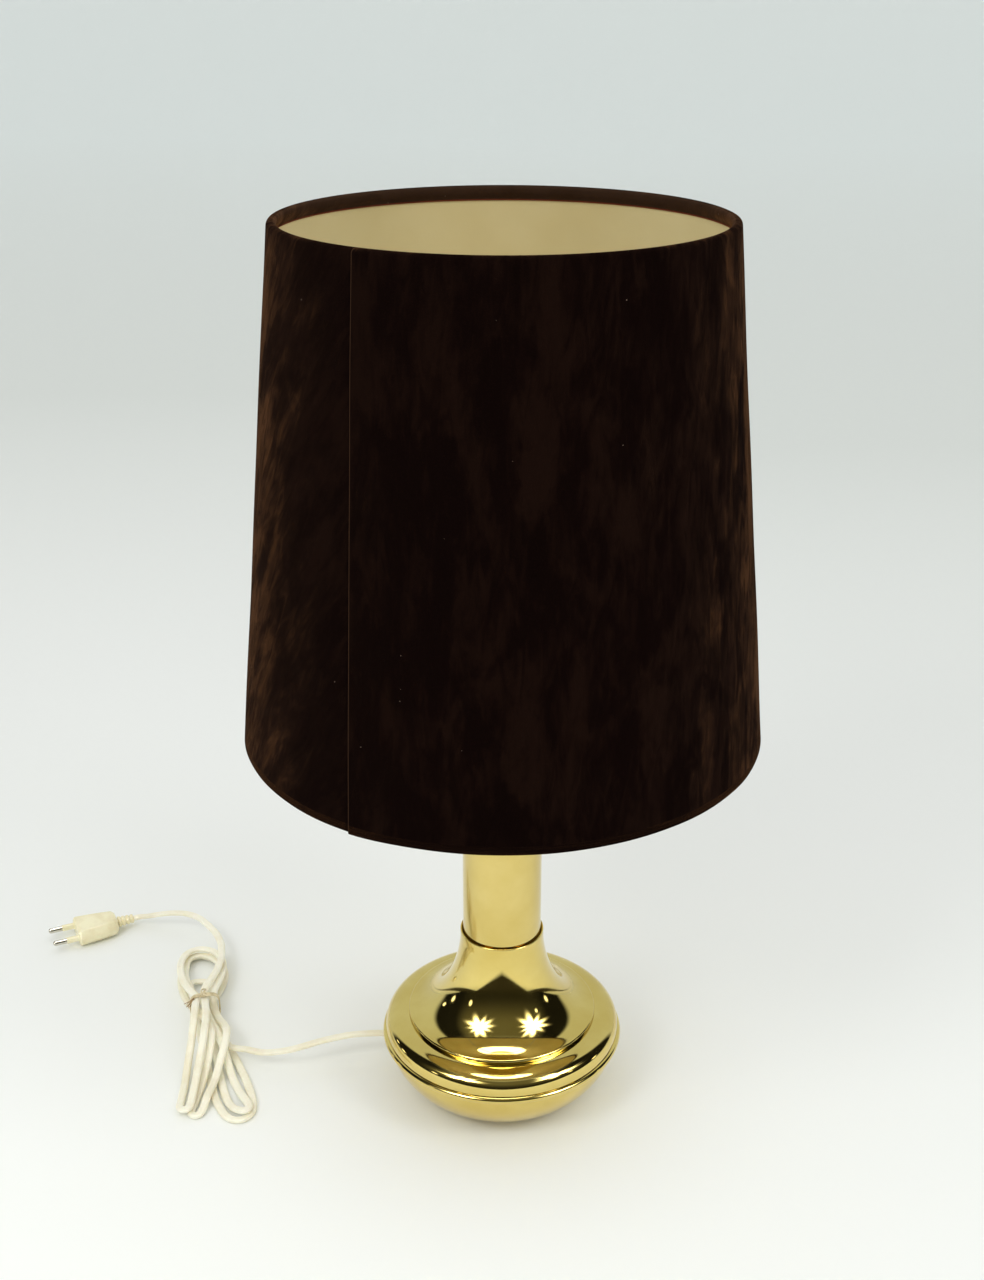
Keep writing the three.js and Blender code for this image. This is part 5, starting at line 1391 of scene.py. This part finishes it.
def cover_mesh():
    """Vertices and faces of the cover, their places on the flat cut, and their share of cut edge and painted
    sheen.
    """
    points, shares = cover_section()
    columns = seam_columns()
    steps = [math.dist(a[:2], b[:2]) for a, b in zip(points, points[1:])]
    along_cloth = np.concatenate([[0], np.cumsum(steps)])
    apex = math.hypot(SHADE_HIGH - SHADE_LOW, SHADE_LOW_RADIUS - SHADE_HIGH_RADIUS)
    cut_share = (SHADE_LOW_RADIUS - SHADE_HIGH_RADIUS) / apex
    cut_radius = SHADE_LOW_RADIUS / cut_share
    rng = np.random.default_rng(11)
    waves = [(rng.uniform(0, 2 * math.pi), n, k, rng.uniform(0.4, 1)) for n, k in RIPPLES]
    vertices, cloth, edges = [], [], []
    for degrees in columns:
        arc_mm = (degrees if degrees < 180 else degrees - 360) * MM_PER_DEGREE
        lap = lap_at(arc_mm, degrees)
        for (depth, height, edge), share, run in zip(points, shares, along_cloth):
            level = (height - SHADE_LOW) / (SHADE_HIGH - SHADE_LOW)
            angle = math.radians(SEAM_AZIMUTH - SEAM_TWIST * level + degrees)
            ripple = sum(a * math.sin(p + n * angle + k * 2 * math.pi * level) for p, n, k, a in waves)
            radius = shade_radius(height) - depth + lap * share + RIPPLE_HEIGHT * ripple * min(share, 1)
            sag = -0.9 * (1 - rise(degrees / 12)) * share if height < SHADE_LOW + 4 and degrees < 12 else 0
            x, y = radius * math.cos(angle), radius * math.sin(angle)
            vertices.append((x * MM, y * MM, (height + sag) * MM))
            turn = math.radians(degrees) * cut_share
            reach = cut_radius - run
            cloth.append((reach * math.sin(turn) * MM, reach * math.cos(turn) * MM))
            # Painted highlight: the seam's lapped edge gets the lighter sheen colour of the hem.
            edges.append(max(edge, 0.5 if 0.2 < arc_mm < 0.9 else 0.0))
    return vertices, skin_faces(len(columns), len(points), closed=True), cloth, edges


# %% Cover with its flat cut
vertices, faces, cloth, edges = cover_mesh()
cover = make_piece("velvet_cover", vertices, faces, cover_velvet, 60)
uv_layer = cover.data.uv_layers.new(name="cloth")
corner_points = np.zeros(len(cover.data.loops), np.int32)
cover.data.loops.foreach_get("vertex_index", corner_points)
uv_layer.data.foreach_set("uv", np.array(cloth, np.float32)[corner_points].ravel())
# The attribute holds the cut edge, and the painted sheen of the hem and of the seam's edge.
cover.data.attributes.new("cut_edge", "FLOAT", "POINT").data.foreach_set("value", np.array(edges, np.float32))
place(cover, "shade", "velvet", "shade_cover")

# %% [markdown]
# ## The lining
# The velvet is laminated on a beige fabric with a smooth coated face, which is what shows inside
# the shade. Its weave, about a millimetre from thread to thread, only breaks the gloss, and years
# of warm bulbs have browned it in soft clouds.


# %% Lining
def lining_fabric():
    """The lining's coated face: soft brown clouds, and a weave that breaks the gloss."""
    finish, tree, shader = new_finish("coated_lining_fabric", Roughness=0.62, Sheen_Weight=0.1)
    spot = add(tree, "ShaderNodeTexCoord").outputs["Object"]
    clouds = add(tree, "ShaderNodeTexNoise", {"Vector": spot, "Scale": 1 / (90 * MM), "Detail": 4.0})
    colour = add(tree, "ShaderNodeValToRGB", {"Fac": clouds}, [(0.3, "#cdbd8b"), (0.7, "#dacda0")])
    tree.links.new(colour.outputs["Color"], shader.inputs["Base Color"])
    weave = add(tree, "ShaderNodeTexNoise", {"Vector": spot, "Scale": 1 / (0.9 * MM), "Detail": 1.0})
    bump = add(tree, "ShaderNodeBump", {"Height": weave, "Strength": 0.35, "Distance": 0.1 * MM})
    tree.links.new(bump.outputs["Normal"], shader.inputs["Normal"])
    return finish


coated_lining = lining_fabric()

# %% Lining sheet
lining_inset = HEM + HEM_ROOM
lining_low = SHADE_LOW + lining_inset
lining_high = SHADE_HIGH - lining_inset
lining_depth = COVER + GAP


def cone_wall(depth, low, high, steps):
    """Profile points of a wall at a depth inside the shade's outer cone, in mm."""
    return [(shade_radius(h) - depth, h) for h in np.linspace(low, high, steps + 1)]


lining = turned("lining_sheet", [
    *cone_wall(lining_depth, lining_low, lining_high, 24),
    *cone_wall(lining_depth + LINING, lining_high, lining_low, 24),
], coated_lining, 288)
place(lining, "shade", "lining", "shade_lining")

# %% [markdown]
# ## The tie
# Thin cotton string is wound four times round the pile of flex and knotted on top of it, with
# one loop pulled up through the turns. Its free end hangs over the left side, where it has frayed
# and browned. All of it is wire along drawn lines; fine noise stands for the fibres.


# %% String
def cotton_string(name, soiled, clean):
    """Cotton string, soiled in small clouds, with fine noise for its fibres."""
    finish, tree, shader = new_finish(name, Roughness=0.95, Sheen_Weight=0.2)
    spot = add(tree, "ShaderNodeTexCoord").outputs["Object"]
    soil = add(tree, "ShaderNodeTexNoise", {"Vector": spot, "Scale": 1 / (5 * MM), "Detail": 3.0})
    colour = add(tree, "ShaderNodeValToRGB", {"Fac": soil}, [(0.4, soiled), (0.62, clean)])
    tree.links.new(colour.outputs["Color"], shader.inputs["Base Color"])
    fibres = add(tree, "ShaderNodeTexNoise", {"Vector": spot, "Scale": 1 / (0.4 * MM), "Detail": 2.0})
    bump = add(tree, "ShaderNodeBump", {"Height": fibres, "Strength": 0.8, "Distance": 0.15 * MM})
    tree.links.new(bump.outputs["Normal"], shader.inputs["Normal"])
    return finish


string = cotton_string("twisted_cotton_string", "#c4b48c", "#e8dbb8")
frayed_string = cotton_string("frayed_cotton_end", "#8b6d45", "#bda072")

# %% Turns of the tie
STRING_RADIUS = 0.5
TIE_TURNS = 4
TURN_POINTS = 32
tie_half = COLUMN_PITCH + CORD_WIDTH / 2 + 1.3
tie_low = 0.9
tie_high = hank_heights[np.abs(hank_plan[:, 0]) < TIE_REACH].max() + CORD_HEIGHT / 2 + 1.3


def tie_point(along, across, height):
    """A place in metres, from mm along the hank, across it and above the table."""
    x, y = np.array(TIE_PLACE) + np.array(ALONG_HANK) * (along - 2.2) + np.array(ACROSS_HANK) * across
    return (x * MM, y * MM, height * MM)


def tie_line():
    """The string's turns round the pile: rounded squares that creep along the hank."""
    middle = (tie_low + tie_high) / 2
    half_height = (tie_high - tie_low) / 2
    line = []
    for i in range(TIE_TURNS * TURN_POINTS + 1):
        angle = 2 * math.pi * i / TURN_POINTS + math.pi
        squareness = (abs(math.cos(angle)) ** 4 + abs(math.sin(angle)) ** 4) ** -0.25
        along = -1.8 + 3.6 * i / (TIE_TURNS * TURN_POINTS) + 0.25 * math.sin(3.1 * angle)
        across = tie_half * squareness * math.cos(angle)
        height = middle + half_height * squareness * math.sin(angle)
        line.append(tie_point(along, across, height))
    return line


tie = wire("tie_string", STRING_RADIUS, string, tie_line(), sides=10)
place(tie, "base", "thread", "hank_tie")


# %% Bow, knot and frayed end
def bow_line():
    """A loop and its end, pulled up through the turns and lying along the hank."""
    top = tie_high + 0.6
    return [tie_point(*p) for p in smooth_path([
        (-1.6, -1.6, top - 1.2), (0.4, -1.3, top + 0.5), (3.4, -1.9, top + 0.4), (6.6, -1.0, top - 0.4),
        (7.4, 0.6, top - 0.8), (5.6, 1.3, top + 0.1), (2.6, 0.4, top + 0.9), (0.2, -0.6, top + 1.2),
        (-1.9, 0.6, top + 0.8), (-2.3, 2.6, top - 0.2),
    ], 0.35)]


def frayed_lines():
    """Fine browned fibres that fan out from the free end."""
    rng = np.random.default_rng(5)
    start = np.array((-2.6, -tie_half + 2.9, tie_high + 0.3))
    lines = []
    for spread in np.linspace(-0.8, 0.8, 11):
        reach = rng.uniform(5.0, 8.6)
        along = -reach * math.cos(spread) * 0.9
        across = -reach * 0.55 + reach * math.sin(spread) * 0.5
        far = start + (along, across, rng.uniform(-3.4, 0.2))
        middle = (start + far) / 2 + rng.uniform(-0.7, 0.7, 3)
        lines.append([tie_point(*p) for p in smooth_path([start, middle, far], 0.4)])
    return lines


bow = wire("tie_bow", STRING_RADIUS, string, bow_line(), sides=10)
knot_line = [
    tie_point(-0.4 + 1.15 * math.cos(a), -1.0 + 0.9 * math.sin(a), tie_high + 0.9 + 0.35 * math.sin(2 * a))
    for a in np.linspace(0, 2 * math.pi, 25)[:-1]
]
knot = wire("tie_knot", STRING_RADIUS * 1.1, string, knot_line, closed=True, sides=10)
frays = wire("tie_frayed_end", 0.24, frayed_string, *frayed_lines(), sides=6)
for piece in (bow, knot, frays):
    place(piece, "base", "thread")


# %% Pins
PIN_SPACING = 18.6
SLEEVE_LENGTH = 9
PIN_LENGTH = 19
SLEEVE_RADIUS = 2.4
PIN_RADIUS = 2.0


def round_on_plug(name, profile, aside, finish):
    """A round piece on the plug, from (reach, radius) pairs."""
    rings = []
    for reach, radius in profile:
        ring = []
        for angle in np.linspace(0, 2 * math.pi, 33)[:-1]:
            ring.append(on_plug(reach, aside + radius * math.cos(angle), radius * math.sin(angle)))
        rings.append(np.array(ring))
    return loft(name, rings, finish)


pins = []
for number, side in ((1, 1), (2, -1)):
    aside = side * PIN_SPACING / 2
    start = PLUG_LENGTH + GAP
    sleeve = round_on_plug(f"pin_insulation_{number}", [
        (start - 0.6, SLEEVE_RADIUS + 0.5), (start, SLEEVE_RADIUS + 0.35), (start + 0.5, SLEEVE_RADIUS),
        (start + SLEEVE_LENGTH - 0.3, SLEEVE_RADIUS), (start + SLEEVE_LENGTH, SLEEVE_RADIUS - 0.3),
    ], aside, plug_pvc)
    place(sleeve, "base", "pvc", f"pin_sleeve_{number}")
    bare = start + SLEEVE_LENGTH + GAP
    tip = PLUG_LENGTH + 2 * GAP + PIN_LENGTH
    pin = round_on_plug(f"pin_{number}", [
        (bare - GAP, PIN_RADIUS), (tip - 1.6, PIN_RADIUS), (tip - 0.8, PIN_RADIUS * 0.86),
        (tip - 0.25, PIN_RADIUS * 0.55), (tip, PIN_RADIUS * 0.2),
    ], aside, nickel)
    place(pin, "base", "nickel", f"plug_pin_{number}")
    pins += [sleeve, pin]


# %% [markdown]
# ## The studio
# The lamp stands on white seamless paper. Two umbrella lamps stand high to the left and right of
# the camera, and pale walls and ceiling fill the shadows. Only polished metal looks back at the
# room: white paper behind the lamp, a black gap on each side of it, an umbrella with bright
# ribs on each side of the camera, dark furniture with a few small lights, and a dark floor. So
# the world looks different to a mirrored ray, to a scattered ray and to the camera.


# %% Paper and floor
def paper_with_painted_falloff(tree, spot):
    """White paper with painted shade: it greys with the distance, and a little more on the right, as the
    light falls off.
    """
    # Painted shade: the light's fall-off to the back and to the right is put in the paper's colour.
    shaded_right = add(tree, "ShaderNodeMapRange", {
        "Value": spot["X"], "From Min": -0.4, "From Max": 0.4, "To Min": -0.05, "To Max": 0.27,
    })
    depth = add(tree, "ShaderNodeMath", {0: spot["Y"], 1: shaded_right}, operation="ADD")
    tone = add(tree, "ShaderNodeMapRange", {"Value": depth, "From Min": -0.2, "From Max": 6.0})
    return add(tree, "ShaderNodeValToRGB", {"Fac": tone}, [
        (0.0, "#f9fbf8"), (0.127, "#eaecea"), (0.32, "#dadedb"), (1.0, "#dfe6e5"),
    ]).outputs["Color"]


def past_paper(tree, spot):
    """1 where the paper has ended, in a wedge in front of the lamp and far to its sides."""
    ahead = add(tree, "ShaderNodeMath", {0: spot["Y"], 1: -1}, operation="MULTIPLY")
    across = add(tree, "ShaderNodeMath", {0: spot["X"]}, operation="ABSOLUTE")
    front = add(tree, "ShaderNodeMath", {0: across, 1: -0.7, 2: ahead}, operation="MULTIPLY_ADD")
    front = add(tree, "ShaderNodeMapRange", {
        "Value": front, "From Min": 0.35, "From Max": 0.5,
    }, interpolation_type="SMOOTHSTEP")
    beside = add(tree, "ShaderNodeMath", {0: ahead, 1: -1.6, 2: across}, operation="MULTIPLY_ADD")
    beside = add(tree, "ShaderNodeMapRange", {
        "Value": beside, "From Min": 1.1, "From Max": 1.5,
    }, interpolation_type="SMOOTHSTEP")
    ended = add(tree, "ShaderNodeMath", {0: front, 1: beside}, operation="MAXIMUM")
    near = add(tree, "ShaderNodeMath", {0: spot["Y"], 1: 0.6}, operation="LESS_THAN")
    return add(tree, "ShaderNodeMath", {0: ended, 1: near}, operation="MULTIPLY")


def floor_finish():
    """Paper, with a dark floor past it that only mirrored rays see."""
    finish, tree, shader = new_finish("seamless_paper", Roughness=0.95, Specular_IOR_Level=0.1)
    spot = add(tree, "ShaderNodeSeparateXYZ", {0: add(tree, "ShaderNodeTexCoord").outputs["Object"]}).outputs
    tree.links.new(paper_with_painted_falloff(tree, spot), shader.inputs["Base Color"])
    mirrored = add(tree, "ShaderNodeLightPath").outputs["Is Glossy Ray"]
    dark = add(tree, "ShaderNodeMath", {0: past_paper(tree, spot), 1: mirrored}, operation="MULTIPLY")
    unlit = add(tree, "ShaderNodeEmission", {"Color": "#36332a", "Strength": 1.0})
    whole = add(tree, "ShaderNodeMixShader", {0: dark, 1: shader, 2: unlit})
    tree.links.new(whole.outputs[0], tree.nodes["Material Output"].inputs["Surface"])
    return finish


FLOOR_REACH = 60
corners = [(-1, -1, 0), (1, -1, 0), (1, 1, 0), (-1, 1, 0)]
floor = make_piece("studio_floor", np.array(corners) * FLOOR_REACH, [(0, 1, 2, 3)], floor_finish())


# %% Umbrella lamps
def disc_lamp(name, azimuth, elevation, distance, size, power):
    """A round soft lamp, at degrees right of the camera and above the table; metal doesn't see it."""
    light = bpy.data.lights.new(name, "AREA")
    light.shape = "DISK"
    light.size = size
    light.energy = power
    lamp = bpy.data.objects.new(name, light)
    bpy.context.scene.collection.objects.link(lamp)
    a, e = math.radians(azimuth), math.radians(elevation)
    way = Vector((math.sin(a) * math.cos(e), -math.cos(a) * math.cos(e), math.sin(e)))
    lamp.location = way * distance + Vector((0, 0, 0.2))
    lamp.rotation_euler = way.to_track_quat("Z", "Y").to_euler()
    lamp.visible_glossy = False


LEFT_UMBRELLA = (-42, 43)  # degrees right of the camera, and above the table
RIGHT_UMBRELLA = (57, 41)
LAMP_DISTANCE = 1.9
LAMP_SIZE = 0.7
disc_lamp("umbrella_left", *LEFT_UMBRELLA, LAMP_DISTANCE, LAMP_SIZE, 7.2)
disc_lamp("umbrella_right", *RIGHT_UMBRELLA, LAMP_DISTANCE, LAMP_SIZE, 5.6)

# %% [markdown]
# ## The room that metal sees
# Directions in the room are written as degrees right of the camera and degrees above the table.
# An umbrella shows as a white middle with bright ribs, and the ribs are of uneven length. The
# rest of the room is a few soft-edged fields of grey, brown and white.

# %% Umbrellas in metal
UMBRELLA_RIBS = 10


def degrees_away(tree, azimuth, elevation, centre):
    """Offsets in degrees from a place in the room, and the distance to it."""
    aside = add(tree, "ShaderNodeMath", {0: azimuth, 1: centre[0]}, operation="SUBTRACT")
    narrowing = math.cos(math.radians(centre[1]))
    aside = add(tree, "ShaderNodeMath", {0: aside, 1: narrowing}, operation="MULTIPLY")
    above = add(tree, "ShaderNodeMath", {0: elevation, 1: centre[1]}, operation="SUBTRACT")
    squares = add(tree, "ShaderNodeMath", {0: above, 1: above}, operation="MULTIPLY")
    squares = add(tree, "ShaderNodeMath", {0: aside, 1: aside, 2: squares}, operation="MULTIPLY_ADD")
    return aside, above, add(tree, "ShaderNodeMath", {0: squares}, operation="SQRT")


def umbrella(tree, azimuth, elevation, centre, reach):
    """Light of an umbrella seen in metal: a white middle and bright ribs of uneven length."""
    aside, above, away = degrees_away(tree, azimuth, elevation, centre)
    around = add(tree, "ShaderNodeMath", {0: above, 1: aside}, operation="ARCTAN2")
    crowded = add(tree, "ShaderNodeMath", {0: around, 1: 2, 2: 0.6}, operation="MULTIPLY_ADD")
    crowded = add(tree, "ShaderNodeMath", {0: crowded}, operation="SINE")
    crowded = add(tree, "ShaderNodeMath", {0: crowded, 1: 2}, operation="MULTIPLY")
    ribs = add(tree, "ShaderNodeMath", {0: around, 1: UMBRELLA_RIBS, 2: crowded}, operation="MULTIPLY_ADD")
    ribs = add(tree, "ShaderNodeMath", {0: ribs}, operation="COSINE")
    uneven = add(tree, "ShaderNodeMath", {0: around, 1: 3, 2: 1}, operation="MULTIPLY_ADD")
    uneven = add(tree, "ShaderNodeMath", {0: uneven}, operation="COSINE")
    rim = add(tree, "ShaderNodeMath", {0: uneven, 1: 0.13 * reach, 2: 0.76 * reach}, operation="MULTIPLY_ADD")
    rim = add(tree, "ShaderNodeMath", {0: ribs, 1: 0.2 * reach, 2: rim}, operation="MULTIPLY_ADD")
    share = add(tree, "ShaderNodeMath", {0: away, 1: rim}, operation="DIVIDE")
    inside = add(tree, "ShaderNodeMapRange", {
        "Value": share, "From Min": 1.35, "From Max": 0.2,
    }, interpolation_type="SMOOTHSTEP")
    return add(tree, "ShaderNodeMath", {0: inside, 1: 5}, operation="POWER")


# %% Walls, furniture and ceiling in metal
def dark_room(tree, azimuth, elevation):
    """What metal sees: dark furniture round the camera, black gaps, white paper and ceiling."""
    aside = add(tree, "ShaderNodeMath", {0: azimuth}, operation="ABSOLUTE")
    shares = []
    for value, start, end in (
        (aside, 116, 126), (elevation, 56, 72), (aside, 88, 62), (elevation, 4, 40), (elevation, 0, 6),
    ):
        shares.append(add(tree, "ShaderNodeMapRange", {
            "Value": value, "From Min": start, "From Max": end,
        }, interpolation_type="SMOOTHSTEP"))
    paper, ceiling, furniture, high_up, over_floor = shares
    low = add(tree, "ShaderNodeMix", {0: furniture, 6: "#151614", 7: "#2f2e24"}, data_type="RGBA").outputs[2]
    shelf = add(tree, "ShaderNodeMix", {0: high_up, 6: "#2b2a22", 7: "#6d6b59"}, data_type="RGBA").outputs[2]
    walls = add(tree, "ShaderNodeMix", {0: furniture, 6: "#1b1b19", 7: shelf}, data_type="RGBA").outputs[2]
    walls = add(tree, "ShaderNodeMix", {0: over_floor, 6: low, 7: walls}, data_type="RGBA").outputs[2]
    white = add(tree, "ShaderNodeMath", {0: paper, 1: ceiling}, operation="MAXIMUM")
    return add(tree, "ShaderNodeMix", {0: white, 6: walls, 7: "#d5dad6"}, data_type="RGBA").outputs[2]


# %% Bright things in metal
GLINTS = [(-63, 12, 4), (-101, 6, 4), (-113, 12, 3), (92, 6, 4), (66, 20, 3)]  # place and reach


def glare(tree, azimuth, elevation):
    """Share of glare that metal sees: two umbrellas, the lit middle of the ceiling, small lights."""
    brightest = add(tree, "ShaderNodeMath", {
        0: umbrella(tree, azimuth, elevation, LEFT_UMBRELLA, 25),
        1: umbrella(tree, azimuth, elevation, RIGHT_UMBRELLA, 27),
    }, operation="MAXIMUM")
    soft_edges = [(elevation, 70, 76, 0.28)]
    for *centre, reach in GLINTS:
        away = degrees_away(tree, azimuth, elevation, centre)[2]
        soft_edges.append((away, reach, 0.4 * reach, 0.14))
    for value, low, high, strength in soft_edges:
        light = add(tree, "ShaderNodeMapRange", {
            "Value": value, "From Min": low, "From Max": high, "To Max": strength,
        }, interpolation_type="SMOOTHSTEP")
        brightest = add(tree, "ShaderNodeMath", {0: brightest, 1: light}, operation="MAXIMUM")
    return brightest


# %% The world
def room_light():
    """Lights the scene evenly, shows metal the dark room, and shows the camera a pale backdrop."""
    world = bpy.data.worlds.new("studio_room")
    bpy.context.scene.world = world
    world.use_nodes = True
    tree = world.node_tree
    tree.nodes.clear()
    towards = add(tree, "ShaderNodeTexCoord").outputs["Generated"]
    way = add(tree, "ShaderNodeSeparateXYZ", {0: towards}).outputs
    towards_camera = add(tree, "ShaderNodeMath", {0: way["Y"], 1: -1}, operation="MULTIPLY")
    azimuth = add(tree, "ShaderNodeMath", {0: way["X"], 1: towards_camera}, operation="ARCTAN2")
    azimuth = add(tree, "ShaderNodeMath", {0: azimuth}, operation="DEGREES")
    elevation = add(tree, "ShaderNodeMath", {0: way["Z"]}, operation="ARCSINE")
    elevation = add(tree, "ShaderNodeMath", {0: elevation}, operation="DEGREES")
    seen = add(tree, "ShaderNodeBackground", {"Color": dark_room(tree, azimuth, elevation), "Strength": 1.0})
    bright = add(tree, "ShaderNodeBackground", {"Color": "#fffdf6", "Strength": 20.0})
    seen = add(tree, "ShaderNodeMixShader", {0: glare(tree, azimuth, elevation), 1: seen, 2: bright})
    height = add(tree, "ShaderNodeMath", {0: way["Z"], 1: way["Z"]}, operation="MULTIPLY")
    height = add(tree, "ShaderNodeMath", {0: height, 1: 0.38, 2: 0.745}, operation="MULTIPLY_ADD")
    lit = add(tree, "ShaderNodeBackground", {"Color": "#f6f7f5", "Strength": height})
    pale = add(tree, "ShaderNodeBackground", {"Color": "#e6eceb", "Strength": 1.0})
    ray = add(tree, "ShaderNodeLightPath").outputs
    mirror = add(tree, "ShaderNodeMath", {
        0: ray["Is Glossy Ray"], 1: ray["Is Transmission Ray"],
    }, operation="MAXIMUM")
    both = add(tree, "ShaderNodeMixShader", {0: mirror, 1: lit, 2: seen})
    whole = add(tree, "ShaderNodeMixShader", {0: ray["Is Camera Ray"], 1: both, 2: pale})
    add(tree, "ShaderNodeOutputWorld", {"Surface": whole})


room_light()
bpy.context.scene.view_settings.view_transform = "Standard"
